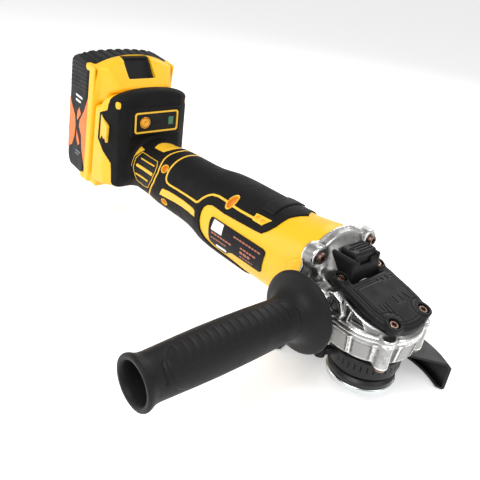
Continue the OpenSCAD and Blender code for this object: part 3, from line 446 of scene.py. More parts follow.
# ---------------------------------------------------------------- housing surface
XS = np.array([42., 48, 56, 66, 80, 130, 140, 150, 160, 170, 180, 200, 216, 232, 262])
RS = np.array([31.3, 31.7, 31.4, 30.9, 30.6, 30.55, 30.3, 29.6, 27.6, 26.2, 25.6, 25.5, 25.3, 23.6, 23.2])
ZS = np.array([62.6, 62.2, 61.2, 60.3, 60.0, 60.0, 60.0, 60.1, 60.5, 60.7, 60.8, 60.8, 60.7, 60.4, 60.2])
ud = np.arange(38, 268, 0.5)
def smooth(y, w=9):
    k = np.hanning(w + 2)[1:-1]; k /= k.sum()
    return np.convolve(np.pad(y, w // 2, mode="edge"), k, mode="valid")
Rd, Zd = smooth(np.interp(ud, XS, RS)), smooth(np.interp(ud, XS, ZS))
def hpos(u, v, h):
    """Housing surface: u is the distance back along -X, v an angle in half millimetres from the top, h the height."""
    R = np.interp(u, ud, Rd) + h; z = np.interp(u, ud, Zd)
    a = np.radians(v * 2.0)
    return -u, -R * np.sin(a), z + R * np.cos(a)
K = 0.5
def ph(pts):
    return [(u, p * K) for u, p in pts]
def fa(V):
    return np.abs(V)     # both sides alike
black = ph([(66.5, -12), (66.8, 0), (70.5, 10), (73.8, 22), (75, 33), (76, 41), (79, 50.5), (83, 58), (88.8, 59), (103.7, 60.3), (120.6, 61.6), (130, 60.6), (135.5, 60.6), (139.5, 63.5), (142.2, 69),
    (143.3, 78), (143.2, 91), (142, 105), (138, 116), (130, 123), (112, 127.5), (104, 131), (99, 140), (98, 200), (262, 200), (262, -12)])
loop = ph([(199.6, -14), (199.6, 35), (199, 54), (197.4, 66), (194.6, 71.4), (191, 72.6), (173.2, 71.6), (152, 69.4), (149.4, 66.5), (147.2, 60), (143.5, 52), (139.6, 47.3), (133.8, 45.2), (125.4, 45.4), (118.3, 46.6), (108.2, 47.0), (95, 46.2)])
ring = ph([(210.6, -14), (212.0, 12), (212.8, 23), (212.9, 37), (211.1, 52), (209.6, 65.3), (211.6, 85.6), (218, 108), (224.5, 124), (226.5, 140), (227, 200)])
pgram = ph([(96.2, 38.2), (81.3, 36.6), (86.1, 49.4), (95.6, 49.4)])
bar = ph([(198.5, 85.8), (190.4, 83.4), (153.5, 80.6), (150.4, 82), (149.4, 90.6), (203, 101.4)])
leaf = ph([(236.2, 24), (238.4, 12), (239.2, 0), (238.4, -12), (236.2, -24), (221.6, -25), (218.8, -12), (218, 0), (218.8, 12), (221.6, 25)])
vent = ph([(243, 44.5), (217, 47), (213.8, 56), (212.8, 68), (214.6, 85), (221, 106), (230, 112), (241, 110), (246.5, 84), (246.8, 62)])
ypoly = ph([(249.5, 36), (242.8, 39), (244.2, 44), (248.5, 60), (248.5, 84), (252, 84), (252, 40)])
slots = [ph([(239.5, 58), (217.9, 58.4)]), ph([(241.5, 74.4), (217, 74.2)]), ph([(241.5, 93), (222, 91.8)])]
slot_w = [0.85, 1.7, 1.1]
label = ph([(129.3, 73), (113, 73), (76, 73.2), (73.2, 75), (72.6, 79), (74.1, 104), (75.6, 107.4), (104.6, 107.5), (108, 110), (112.6, 117.2), (116, 118.6), (120.5, 117.6), (129.6, 112.6), (131.2, 108), (131.2, 80), (130.6, 75)])
def ell(U, V, cu, cv, a, b, tilt=0.0):
    du, dv = U - cu, V - cv * K
    t = rad(tilt)
    p, q = du * math.cos(t) + dv * math.sin(t), -du * math.sin(t) + dv * math.cos(t)
    return (np.sqrt((p / a) ** 2 + (q / b) ** 2) - 1) * min(a, b)
REC = [(120.3, 42.2, 3.1, 5.3, -7.0), (204.6, 52.4, 3.3, 3.6, 0.0), (197.8, 113.5, 4.0, 3.0, 30.0)]
def f_black(U, V):
    V = fa(V)
    f = d_poly(U, V, black)
    for g, w in ((loop, 0.95), (ring, 0.85)):
        f = np.maximum(f, -(d_line(U, V, g) - w))
    for g in (pgram, bar, ypoly, vent):
        f = np.maximum(f, -d_poly(U, V, g))
    f = np.maximum(f, -d_poly(U, fa(V), leaf))
    for cu, cv, a, b, t in REC:
        f = np.maximum(f, -(ell(U, V, cu, cv, a, b, t) - 0.75))
    # slot of the slide switch
    f = np.maximum(f, -(np.maximum(np.abs(U - 89.6) - 4.4, np.abs(V) - 2.4)))
    return f
def f_housing(U, V):
    V = fa(V)
    f = np.maximum(42.4 - U, U - 256)
    for cu, cv, a, b, t in REC:
        f = np.maximum(f, -ell(U, V, cu, cv, a, b, t))
    f = np.maximum(f, -(np.maximum(np.abs(U - 89.6) - 4.2, np.abs(V) - 2.2)))
    for s, w in zip(slots, slot_w):
        f = np.maximum(f, -(d_line(U, V, s) - w * 0.45))
    return f
grooves = [ph([(68.6, 70), (67.8, 88), (69.1, 106), (71.6, 114), (76, 116.6), (100, 117), (108, 121)]), ph([(52.0, 84), (52.6, 72.5), (51.0, 68.2), (44.4, 62)])]
def h_housing(u, v, d, h):
    a = fa(v)
    for g in grooves:
        h = h - 0.35 * np.exp(-(d_line(u, a, g) / 0.45) ** 2)
    for s, w in zip(slots, slot_w):
        h = h - 0.2
    return h
us = np.arange(42.0, 257, 0.75)
vr = np.linspace(0.06, 89.94, 150); vl = -vr[::-1]
for side, vs in (("right", vr), ("left", vl)):
    o = patch("shell_" + side, f_housing, hpos, us, vs, M_yel, "housing", top=0.0, edge=-0.15, bottom=-2.6, rnd=0.4, hfun=h_housing)
    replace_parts(o, "housing_" + side)
    us2 = np.arange(62, 257, 0.7); vs2 = np.linspace(vs[0], vs[-1], 170)
    def h_black(u, v, d, h):
        a = fa(v)
        # fine moulded lines round the slide switch recess
        w = np.minimum(np.abs(ell(u, a, 94, 0, 9.0, 17.5)), 9)
        h = h - 0.30 * np.exp(-((np.abs(np.maximum(np.abs(u - 89.6) - 9.6, np.abs(a) - 17.5))) / 0.5) ** 2)
        return h + 0.10 * np.exp(-((u - 60) / 10) ** 2)
    o = patch("grip_skin_" + side, f_black, hpos, us2, vs2, M_rub, "housing", top=0.55, edge=0.02, bottom=-0.8, rnd=0.8, hfun=h_black)
    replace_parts(o, "overmould_" + side)
    # yellow lines that show through the skin
    def f_lines(U, V):
        V = fa(V)
        f = np.minimum(d_line(U, V, loop) - 0.86, d_line(U, V, ring) - 0.76)
        for g in (pgram, bar, ypoly):
            f = np.minimum(f, d_poly(U, V, g) + 0.1)
        f = np.minimum(f, d_poly(U, fa(V), leaf) + 0.1)
        for cu, cv, a, b, t in REC:
            e = ell(U, V, cu, cv, a, b, t)
            f = np.minimum(f, e - 0.66)
            f = np.maximum(f, -e)
        q1 = d_poly(U, V, ph([(94.4, 44.6), (94.0, 40.2), (90.4, 40.0), (90.2, 44.8)])); q2 = d_poly(U, V, ph([(89.2, 45.2), (88.8, 41.4), (84.2, 40.9), (85.4, 45.9)]))
        return np.maximum(f, -np.minimum(q1, q2))
    patch("yellow_lines_" + side, f_lines, hpos, np.arange(78, 254, 0.55), np.linspace(vs[0], vs[-1], 230), M_yel2, "housing", top=0.62, edge=0.3, bottom=-0.5, rnd=0.6)
    sg = 1 if side == "right" else -1
    # hollow cups at the screws
    for k, (cu, cv, a, b, t) in enumerate(REC):
        cc = cv * K
        f = lambda U, V, cu=cu, cv=cv, a=a, b=b, t=t: ell(U, fa(V), cu, cv, a, b, t) - 0.25
        def hf(u, v, d, h, cu=cu, cv=cv, a=a, b=b, t=t):
            e = np.clip(1 + (ell(u, fa(v), cu, cv, a, b, t)) / min(a, b), 0, 1)
            return 0.2 - 3.6 * np.sqrt(np.clip(1 - e ** 2.4, 0, 1))
        bt = lambda u, v, d, hf=hf: hf(u, v, d, 0) - 0.6
        g = np.arange(cu - 8, cu + 8, 0.4); gv = np.arange(cc - 8, cc + 8, 0.4)
        patch("screw_cup_%s_%d" % (side, k), f, hpos, g, gv if sg > 0 else -gv[::-1], M_org, "housing", hfun=hf, bottom=bt, sharp=60)
    # vent panel beside the neck
    def f_vent(U, V):
        f = d_poly(U, fa(V), vent) + 0.9
        for s, w in zip(slots, slot_w):
            f = np.maximum(f, -(d_line(U, fa(V), s) - w))
        return f
    g = np.arange(210, 250, 0.45); gv = np.arange(20, 60, 0.45)
    o = patch("vent_panel_" + side, f_vent, hpos, g, gv if sg > 0 else -gv[::-1], M_blk, "housing", top=0.5, edge=0.1, bottom=-0.7, rnd=0.5)
    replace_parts(o, "side_vents")
    def f_frame(U, V):
        f = d_poly(U, fa(V), vent)
        return np.maximum(f + 0.05, -(f + 0.8))
    patch("vent_frame_" + side, f_frame, hpos, g, gv if sg > 0 else -gv[::-1], M_yel2, "housing", top=0.6, edge=0.3, bottom=-0.5, rnd=0.5)
    def f_ribs(U, V):
        return np.minimum.reduce([d_line(U, fa(V), s) - (w - 0.15) for s, w in zip(slots, slot_w)])
    patch("vent_ribs_" + side, f_ribs, hpos, g, gv if sg > 0 else -gv[::-1], M_yel2, "housing", top=0.7, edge=0.3, bottom=-0.6, rnd=0.5)

# rating plate: plain blocks and dashes, no lettering
lu, lv = np.arange(70, 134, 0.45), np.arange(34, 62, 0.45)
o = patch("label_plate", lambda U, V: d_poly(U, V, label), hpos, lu, lv, M_label, "housing", top=0.32, edge=0.05, bottom=-0.4, rnd=0.4)
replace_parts(o, "rating_label")
sq = ph([(126.1, 75.2), (116.2, 75.4), (116.6, 89.2), (127.6, 89.6)])
patch("label_square", lambda U, V: d_poly(U, V, sq) - 0.5, hpos, np.arange(113, 130, 0.3), np.arange(36, 46, 0.3), M_white, "housing", top=0.4, edge=0.34, bottom=0.2, rnd=0.3)
patch("label_pill", lambda U, V: d_line(U, V, ph([(121.8, 111.9), (112.2, 111.3)])) - 1.25, hpos, np.arange(108, 126, 0.3), np.arange(52, 60, 0.3), M_white, "housing", top=0.4, edge=0.34, bottom=0.2, rnd=0.3)
rows = [(127, 103, 94.2, 0.62), (127.6, 109, 101.6, 0.5), (103.4, 76, 80.8, 0.55), (95, 80, 89.8, 0.62), (95, 85, 96.0, 0.95), (95.4, 81.5, 102.2, 0.4)]
def f_dash(U, V):
    f = np.full(U.shape, 9.0)
    q = 0
    for a, b, p, w in rows:
        x = a
        while x > b + 1:
            q += 1
            ln = 1.1 + 0.9 * ((q * 37) % 5) / 4
            f = np.minimum(f, d_line(U, V, [(x, p * K), (max(b, x - ln), p * K)]) - w)
            x -= ln + 2 * w + 0.45
    return f
patch("label_dashes", f_dash, hpos, np.arange(74, 130, 0.28), np.arange(38, 54, 0.28), M_print, "housing", top=0.4, edge=0.34, bottom=0.2, rnd=0.2)

# slide switch: a ribbed saddle across the top
def f_slide(U, V):
    return np.maximum(np.abs(U - 89.6) - 5.6, np.abs(V) - 15.2)
def h_slide(u, v, d, h):
    r = np.where(np.abs(v) < 9, 0.35 * np.clip(np.cos((u - 89.6) * 2 * np.pi / 2.2), -0.3, 1), 0)
    return h + np.where(d > 1.0, r, 0)
o = patch("slide_saddle", f_slide, hpos, np.arange(83, 97, 0.3), np.arange(-16, 16, 0.3), M_blk, "power_slide", top=1.7, edge=1.0, bottom=0.72, rnd=0.9, hfun=h_slide)
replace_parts(o, "slide_switch")

# ---------------------------------------------------------------- gear head castings
S15, C15 = math.sin(rad(15)), math.cos(rad(15))
def corner_cut(x, y, z):
    f = np.float32(99)
    for zz in (83.4, 38.5):
        f = np.minimum(f, d_cyl(np.abs(y), z, x, 24.9, zz, 2.1, -60, -20))
        f = np.minimum(f, d_cyl(np.abs(y), z, x, 24.9, zz, 4.3, -32.6, -14, 0.3))
    return f
HEX = [(-18.6, 68.5), (-20.2, 55.9), (-15.2, 52.4), (-7.4, 53.9), (-4.8, 58.6), (-8.3, 66.9), (-14.6, 69.6)]
def f_case(x, y, z):
    ay = np.abs(y)
    S = x * S15 + (z - 63.5) * C15
    cone = L(x, y) - (28.8 - (z - 54) * 0.36)
    rear = np.maximum(ay - (28.2 - (z - 54) * 0.26) + np.maximum(x + 14, 0) * 0.45, np.maximum(-38 - x, x - 4))
    b = smin(cone, rear, 5)
    b = smax(b, S - 0.2, 1.2)
    b = np.maximum(b, 52 - z)
    # shoulder that rises to the motor flange
    sh = L(y, z - 61.5) - (30.4 - (x + 36) * 1.02)
    sh = np.maximum(sh, np.maximum(x + 13, np.maximum(-40 - x, 60 - z)))
    b = smin(b, sh, 5)
    # parting rib
    pl = smin(L(x, y) - 29.7, np.maximum(ay - 29.9 + np.maximum(x + 10, 0) * 0.3, np.maximum(-35 - x, x)), 3)
    b = smin(b, ext(pl, z, 52, 54.8, 0.9), 1.6)
    # flange to the motor housing
    fl = d_cyl(y, z, x, 0, 62.3, 31.4, -42.3, -35.2, 1.0)
    b = smin(b, fl, 3.0)
    # corner lugs
    for zz in (83.4, 38.5):
        b = smin(b, d_cyl(ay, z, x, 24.9, zz, 6.6, -42, -32.6, 1.2), 3.5)
    # spine between the lugs and the flank
    b = smin(b, d_cyl(ay, z, x, 21.5, 73, 5.0, -42, -30, 2), 5)
    # side handle bosses
    b = smin(b, d_cyl(x, z, ay, -23, 57, 11.2, 20, 32, 0.8), 3.0)
    # hexagonal pad with its pocket
    hx = d_poly(x, z, HEX)
    b = smin(b, ext(hx, ay, 18, 28.9 + 0 * x, 0.9), 2.0)
    b = smax(b, -ext(hx + 2.6, ay, 25.2, 40, 0.9), 0.8)
    # front screw bosses
    b = smin(b, d_cyl(x, ay, z, 21.9, 17.9, 4.7, 52, 55.9, 0.7), 2.2)
    # shallow cast window between the pad and the nose
    win = d_poly(x, z, [(-1.5, 56.6), (10, 56.4), (6, 60.4), (-1.5, 62.6)])
    b = smax(b, -ext(win, ay, 24.4 - 0.02 * x, 40, 0.8), 0.8)
    # inside
    b = np.maximum(b, -np.maximum(L(x, y) - 24.6, z - 55.9))
    b = np.maximum(b, -d_cyl(y, z, x, 0, 60, 8.3, -34.5, -10))
    b = np.maximum(b, -d_cyl(y, z, x, 0, 60, 11, -43.5, -33.9))
    b = np.maximum(b, -d_cyl(x, y, z, 0, 0, 7.5, 50, 62.6))
    b = np.maximum(b, -d_cyl(x, z, ay, -23, 57, 4.05, 18, 40))
    b = np.maximum(b, -d_box(x, y, z, (-31.5, 8.4, 62), (-8.2, 13.6, 92)))
    b = np.maximum(b, -d_cyl(x, y, z, -11, 10.8, 1.9, 50, 72))
    b = np.maximum(b, -corner_cut(x, y, z))
    b = np.maximum(b, -np.maximum(np.maximum(-34.9 - x, ay - 19), z - 52))
    return b
o = vol("gear_casting", f_case, (-43.5, -34, 27), (33, 34, 97), 0.55, M_alu, "housing")
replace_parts(o, "gear_case")

def f_low(x, y, z):
    ay = np.abs(y)
    neck = d_cyl(x, y, z, 0, 0, 19.3, 18.5, 37, 0.6)
    bowl = L(x, y) - (27.0 + (z - 35) * 0.15)
    rear = np.maximum(ay - 27.6 + np.maximum(x + 8, 0) * 0.2, np.maximum(-34.4 - x, x))
    b = smin(bowl, rear, 4)
    b = smax(b, 35.2 - z, 2.4)
    b = np.maximum(b, z - 51.9)
    pl = smin(L(x, y) - 29.5, np.maximum(ay - 29.7 + np.maximum(x + 10, 0) * 0.3, np.maximum(-34.6 - x, x)), 3)
    b = smin(b, ext(pl, z, 49.2, 51.9, 0.9), 1.6)
    b = smin(b, neck, 2.0)
    b = smin(b, d_cyl(x, ay, z, 21.9, 17.9, 4.5, 34.6, 51.9, 0.9), 2.6)
    b = smin(b, d_cyl(x, ay, z, -24, 22.5, 4.8, 34.6, 48, 0.9), 2.0)
    b = smin(b, d_cyl(x, y, z, -15, -27.5, 4.6, 36, 48, 0.8), 2.5)
    # vertical cast webs round the bowl
    an = np.arctan2(y, x)
    web = np.abs(np.mod(an * 180 / np.pi + 7.5, 30) - 15) * 0.47 - 0.7
    b = smin(b, np.maximum(np.maximum(bowl - 0.7, web), np.maximum(37.5 - z, z - 50)), 1.4)
    b = np.maximum(b, -np.maximum(L(x, y) - 24.6, 42 - z))
    b = np.maximum(b, -np.maximum(L(x, y) - 16, 24 - z))
    b = np.maximum(b, -(L(x, y) - 12.5 + 0 * z))
    for cx, cy in ((21.9, 17.9), (-24, 22.5)):
        b = np.maximum(b, -d_cyl(x, ay, z, cx, cy, 2.1, 30, 60))
    b = np.maximum(b, -d_cyl(ay, z, x, 24.9, 38.5, 4.25, -40, -14))
    b = np.maximum(b, -d_cyl(x, y, z, -15, -27.5, 1.55, 30, 41))
    return b
o = vol("lower_casting", f_low, (-36, -33, 17.5), (31, 33, 53), 0.55, M_alu, "housing")
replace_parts(o, "bearing_box")

# ---------------------------------------------------------------- sloped cover
SLOPE = Matrix.Translation((0, 0, 63.5)) @ Matrix.Rotation(rad(15), 4, "Y")
CS = [(-21, 18.1, 4.9), (20.5, 15, 5.6)]
CH = [(-26.0, 20.7), (4, 21.2), (12, 20.7), (17.6, 19.2), (22.3, 16.2), (25.2, 12.4), (27.0, 6.6), (27.6, 0)]
CPL = CH + [(a, -b) for a, b in reversed(CH[:-1])]
def cover_plan(x, y):
    ay = np.abs(y)
    p = d_poly(x, y, CPL) - 1.6
    p = smin(p, L(x + 21, ay - 18.1) - 5.0, 3)
    return smax(p, -np.maximum(ay - 14.3, x + 14.4), 0.8)
GR = [((-13.5, 2.4), (-8.6, 3.2)), ((-13.5, 6.9), (-7.8, 7.5)), ((-13.0, 11.3), (-7.2, 12.4)), ((5.3, 6.3), (10.3, 6.6)), ((5.4, 11.2), (11.1, 12.6)), ((6.2, -13.3), (10.9, -13.5)), ((7.0, -7.6), (17.0, -8.4)), ((7.5, -10.6), (14.2, -11.0)), ((5.2, 1.4), (10.0, 1.5))]
def f_cover(x, y, z):
    p = cover_plan(x, y)
    b = ext(p, z, 0.5, 6.5, 2.4)
    b = smin(b, ext(p + 4.0, z, 3, 7.1, 0.9), 1.0)
    for cx, cy, r in CS:
        b = smin(b, d_cyl(x, np.abs(y), z, cx, cy, r, 2, 6.9, 0.7), 1.2)
    for cx, cy, r in CS:
        b = smax(b, -d_cyl(x, np.abs(y), z, cx, cy, 3.7, 4.1, 12), 0.5)
        b = np.maximum(b, -d_cyl(x, np.abs(y), z, cx, cy, 1.75, -2, 12))
    # arcs beside the front screws and short bars
    arc = np.abs(L(x - 20.5, np.abs(y) - 15) - 8.2) - 0.28
    b = smax(b, -np.maximum(arc, np.maximum(6.6 - z, x - 24)), 0.3)
    for g in GR:
        b = smax(b, -np.maximum(d_line(x, y, g) - 0.36, 6.5 - z), 0.3)
    b = smax(b, -np.maximum(np.abs(p + 5.4) - 0.2, 6.75 - z), 0.3)
    b = np.maximum(b, -np.maximum(ext(cover_plan(x, y) + 2.6, z, -2, 3.6), np.maximum(np.abs(y) - 14, np.abs(x - 2.5) - 16.5)))
    b = np.maximum(b, -d_box(x, y, z, (-30, 8.2, -3), (-7, 14.2, 3)))
    return b
o = vol("head_cover", f_cover, (-29, -25.5, -0.3), (30, 25.5, 8), 0.36, M_cover, "housing", M=SLOPE)
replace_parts(o, "top_cover")

# torx screw heads, the profile cut by a six-lobed recess
def torx(name, c, zdir, r, h, body, node=None, mat=None):
    prof = rounded([(0, 0), (r, 0), (r, h), (0, h)], [0, 0.15, 0.45, 0])
    n = 72
    P, faces = [], []
    rings = [(r * 0.98, 0.0, 0), (r, 0.15, 0), (r, h * 0.55, 0), (r * 0.93, h * 0.85, 0), (r * 0.82, h, 0), (r * 0.56, h, 1), (r * 0.52, h - 0.12, 1), (r * 0.50, h * 0.25, 1)]
    for (rr, z, lobed) in rings:
        for k in range(n):
            a = 2 * math.pi * k / n
            q = rr * (1 + (0.13 * math.cos(6 * a) if lobed else 0))
            P.append((q * math.cos(a), q * math.sin(a), z))
    for i in range(len(rings) - 1):
        for k in range(n):
            faces.append([i * n + k, i * n + (k + 1) % n, (i + 1) * n + (k + 1) % n, (i + 1) * n + k])
    faces.append([k for k in reversed(range(n))])
    faces.append([(len(rings) - 1) * n + k for k in range(n)])
    q = Vector(zdir).normalized().to_track_quat("Z", "Y")
    M = Matrix.Translation(c) @ q.to_matrix().to_4x4()
    return make(name, P, faces, mat or M_screw, body, M=M, sharp=35)
up = Vector((S15, 0, C15))
sc = []
for sgn, tag in ((-1, "r"), (1, "l")):
    for k, (cx, cy, r) in enumerate(CS):
        c = SLOPE @ Vector((cx, sgn * cy, 4.1))
        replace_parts(torx("cover_screw_%s%d" % (tag, k), c, up, 3.15, 2.0, "housing"), "cover_screws")
    for k, zz in enumerate((83.4, 38.5)):
        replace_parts(torx("corner_screw_%s%d" % (tag, k), (-32.6, sgn * 24.9, zz), (1, 0, 0), 3.6, 2.8, "housing"), "gear_case_screws")
    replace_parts(torx("front_screw_%s" % tag, (21.9, sgn * 17.9, 34.5), (0, 0, -1), 3.4, 2.3, "housing"), "bearing_box_screws")
    torx("rear_screw_%s" % tag, (-24, sgn * 22.5, 34.5), (0, 0, -1), 3.4, 2.3, "housing")

# ---------------------------------------------------------------- spindle lock
def f_guide(x, y, z):
    b = d_box(x, y, z, (-34, -13.9, 60), (-14.6, 13.9, 84.6), 1.2)
    b = smax(b, 0.15 - (x * S15 + (z - 63.5) * C15), 0.4)
    b = np.maximum(b, (x + 34) * -0.2 - 99)
    b = smax(b, (x + 17.2) * 0.906 + (z - 84.5) * 0.423, 1.2)
    # finger ramps on both sides of the button
    b = smax(b, -d_box(x, y, z, (-31, -9.7, 72.5), (-17.3, 12.5, 100), 0.4), 0.4)
    b = smax(b, -np.maximum(np.abs(y) - 5.2, np.maximum(x + 13 - 99, 80.5 - z) + 0 * x), 0.6)
    b = smin(b, d_box(x, np.abs(y), z, (-33.4, 10.6, 70), (-15.2, 13.6, 85.8), 1.2), 1.0)
    b = np.maximum(b, -d_box(x, y, z, (-31.2, 8.3, 60), (-14, 13.5, 68.9)))
    return b
o = vol("lock_guide", f_guide, (-35, -15, 64), (-13.5, 15, 87), 0.45, M_blk, "housing")
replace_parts(o, "spindle_lock_guide")
def f_btn(x, y, z):
    b = d_box(x, y, z, (-30.6, -9.2, 79), (-17.8, 12, 88), 1.3)
    b = smax(b, (x + 18.6) * 0.82 + (z - 87.5) * 0.57, 1.0)
    for k in range(4):
        b = smax(b, -np.maximum(np.abs(x + 28.0 - k * 2.5) - 0.5, np.maximum(87.2 - z, np.abs(y - 3.6) - 6.6)), 0.4)
    b = smax(b, -np.maximum(L((x + 24.5) * 0.8, (y + 5.6) * 0.45) - 0.9, 87.0 - z), 0.4)
    b = smin(b, d_box(x, y, z, (-30.6, 8.8, 68.6), (-17.8, 12, 82), 0.5), 0.5)
    return b
o = vol("lock_button", f_btn, (-31.5, -10, 68), (-17, 13, 89), 0.4, M_blk, "spindle_lock")
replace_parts(o, "spindle_lock_button")

# ---------------------------------------------------------------- spindle stack
o = turned("ring_nut", rounded([(7.06, 5.3), (14.6, 5.3), (15.2, 5.7), (21.6, 5.7), (22.6, 6.8), (22.6, 10.0), (22.0, 10.7), (20.2, 10.7), (20.0, 9.7), (12, 9.7), (12, 10.7), (7.06, 10.7)], 0.35), M_zinc, "clamp_nut", n=160)
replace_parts(o, "lock_nut")
o = turned("drive_flange", rounded([(7.5, 11), (21.9, 11), (22.0, 13.4), (21.0, 14.6), (20.2, 15.6), (18.4, 16.0), (18.2, 17.8), (7.5, 17.8)], 0.4), M_dark, "spindle_group", n=160)
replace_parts(o, "inner_flange")

# ---------------------------------------------------------------- side handle
def handle():
    out = [(11, 33.2), (11, 42), (14, 43.2), (19, 44.3), (24.4, 45.6), (25.7, 46.4), (26, 47.3), (25.8, 48.2), (25.0, 49.0), (23.6, 49.9), (21.6, 50.9), (19.4, 52.0), (17.4, 53.5), (15.8, 55.4), (14.6, 57.8)]
    s = np.arange(58.2, 153.5, 0.45)
    r = np.interp(s, [58, 61, 66, 75, 85, 100, 115, 130, 142, 150, 154], [14.5, 13.7, 13.4, 13.7, 14.0, 14.15, 14.1, 13.7, 13.25, 12.95, 13.2])
    mid = [(float(a), float(b)) for a, b in zip(r, s)]
    end = [(13.5, 154.2), (14.0, 155.6), (14.6, 156.8), (15.0, 157.9), (15.05, 158.8), (14.7, 159.7), (14.1, 160), (12.6, 160), (12.0, 159.6), (11.5, 158.6), (11.1, 157), (10.8, 154), (10.8, 120), (10.7, 92), (4.6, 90), (4.6, 33.2)]
    prof = out + mid + end
    i0, i1 = len(out), len(out) + len(mid)
    def rm(H, T, I):
        s_ = H
        res = np.zeros_like(H)
        outer = (I >= i0) & (I < i1)
        for ph0 in (0.0, math.pi):
            t = np.mod(T - ph0 + math.pi, 2 * math.pi) - math.pi
            a = np.degrees(t)
            pw = (a - 38) * 0.24          # millimetres round the grip
            rect = d_box(s_, pw, 0 * s_, (58.5, -15.2, -9), (146, 15.2, 9), 12)
            res += 0.28 * np.clip(-rect / 0.8, 0, 1) - 0.30 * np.exp(-(rect / 0.5) ** 2)
            k = np.round((s_ - 67) / 5.1)
            c = 67 + k * 5.1
            win = np.clip((a - 40 + 0.08 * (s_ - 67)) / 4, 0, 1) * np.clip((96 - a) / 5, 0, 1) * (s_ > 65) * (s_ < 142.5)
            res += 0.42 * np.exp(-((s_ - c) / 0.62) ** 2) * win
            nt = np.clip(1.2 - np.abs(s_ - 148.2 + (a - 38) * 0.02), 0, 0.9) / 0.9 * np.clip((26 - np.abs(a - 40)) / 3, 0, 1)
            res -= 0.8 * nt
        return np.where(outer, res, 0)
    o = turned("side_grip", prof, M_hand, "side_handle", axis="y", c=(-23, 0, 57), n=200, rmod=rm, sharp=50)
    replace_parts(o, "handle_grip")
handle()

# ---------------------------------------------------------------- foot that carries the battery
TL = rad(6.9); ST, CT = math.sin(TL), math.cos(TL)
BAT = Matrix.Translation((-304, 0, 87)) @ Matrix.Rotation(TL, 4, "Y")
def bpt(a, b):
    return (-304 + a * CT + b * ST, 87 - a * ST + b * CT)
FSIDE = [(-250, 50), (-257, 41), bpt(13.3, -52), bpt(13.3, 22), bpt(21, 26), (-262.5, 127.5), (-254, 126.5), (-250, 119)]
FPLAN = [(-250, -25.5), (-256, -34), (-272, -39.4), (-320, -39.4), (-320, 39.4), (-272, 39.4), (-256, 34), (-250, 25.5)]
FBLK = [(-252, 30), (-262.5, 42), (-263.5, 62), (-281, 80), (-277.5, 104), (-268, 108), (-262.5, 130), (-200, 130), (-200, 30)]
def foot(x, y, z):
    f = smax(d_poly(x, z, FSIDE), d_poly(x, y, FPLAN), 6.0)
    f = smax(f, z - (128.2 - (y / 40) ** 2 * 10), 5.0)
    return f
def f_foot_y(x, y, z):
    f = foot(x, y, z) + 0.35
    xl = (x + 304) * CT - (z - 87) * ST; zl = (x + 304) * ST + (z - 87) * CT
    f = np.maximum(f, 13.3 - xl + np.where(zl > 22, 7.7, 0) * 0)
    for lo, hi in (((11.5, -20.5, -29), (17.5, 20.5, 51)), ((16.1, -25.4, -29), (20.9, 25.4, 51)), ((16.6, -15.3, -40.3), (29.6, 15.3, -5.7))):
        f = np.maximum(f, -d_box(xl, y, zl, lo, hi))
    f = np.maximum(f, -d_cyl(y, z, x, 0, 60.2, 20.0, -262, -240))
    f = np.maximum(f, -d_box(x, y, z, (-254, -21.5, 91), (-240, 21.5, 109)))
    # fine parting line of the release rim
    f = smax(f, -np.maximum(np.abs(zl - 24 - (xl - 20) * 0.5) - 0.35, np.maximum(38.2 - np.abs(y), np.abs(xl - 27) - 7)), 0.3)
    return f
def f_foot_b(x, y, z):
    f0 = foot(x, y, z)
    zone = d_poly(x, z, FBLK)
    f = smax(f0, zone, 0.8)
    f = np.maximum(f, -(f0 + 3.2))
    neck = L(y, z - 60.2) - 23.6
    f = smin(f, np.maximum(neck, np.maximum(-258 - x, x + 247.6)), 4.5)
    f = smin(f, np.maximum(np.maximum(np.abs(y) - 24.5, np.abs(z - 100) - 11.5), np.maximum(-254 - x, x + 249.4)), 1.6)
    f = np.maximum(f, -(L(y, z - 60.2) - 20.5))
    f = smax(f, -d_box(x, y, z, (-253.6, -20.2, 92.2), (-240, 20.2, 107.8), 1.2), 0.5)
    # hollow at the top screw
    f = np.maximum(f, -(L((x + 257.2) * 1.0, (np.abs(y) - 33.2) * 1.0, (z - 114.4) * 0.8) - 2.5))
    return f
o = vol("foot_frame", f_foot_y, (-310, -41, 34), (-248, 41, 130), 0.85, M_yel, "housing", relax=2)
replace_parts(o, "housing_right", "housing_left")
o = vol("foot_skin", f_foot_b, (-300, -41, 34), (-245.5, 41, 130.5), 0.75, M_rub, "housing", relax=2)
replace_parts(o, "foot_overmould")
# yellow flash on each side of the foot, given in the battery's frame
FL = [(28.3, 19.5), (33.6, 15.5), (39.0, 12.8), (38.8, -2.6), (35.9, 2.4), (34.6, -0.6), (31.9, 2.2), (28.8, -3.0), (28.6, 9)]
def side_pos(sg, y0):
    return lambda u, v, h: (u, sg * (y0 + h), v)
for sg, tag in ((-1, "right"), (1, "left")):
    patch("foot_flash_" + tag, lambda U, V: d_poly(U, V, FL), side_pos(sg, 39.0), np.arange(27, 41, 0.35), np.arange(-4, 21, 0.35), M_yel2, "housing", top=0.9, edge=0.5, bottom=-1.5, rnd=0.5, M=BAT)
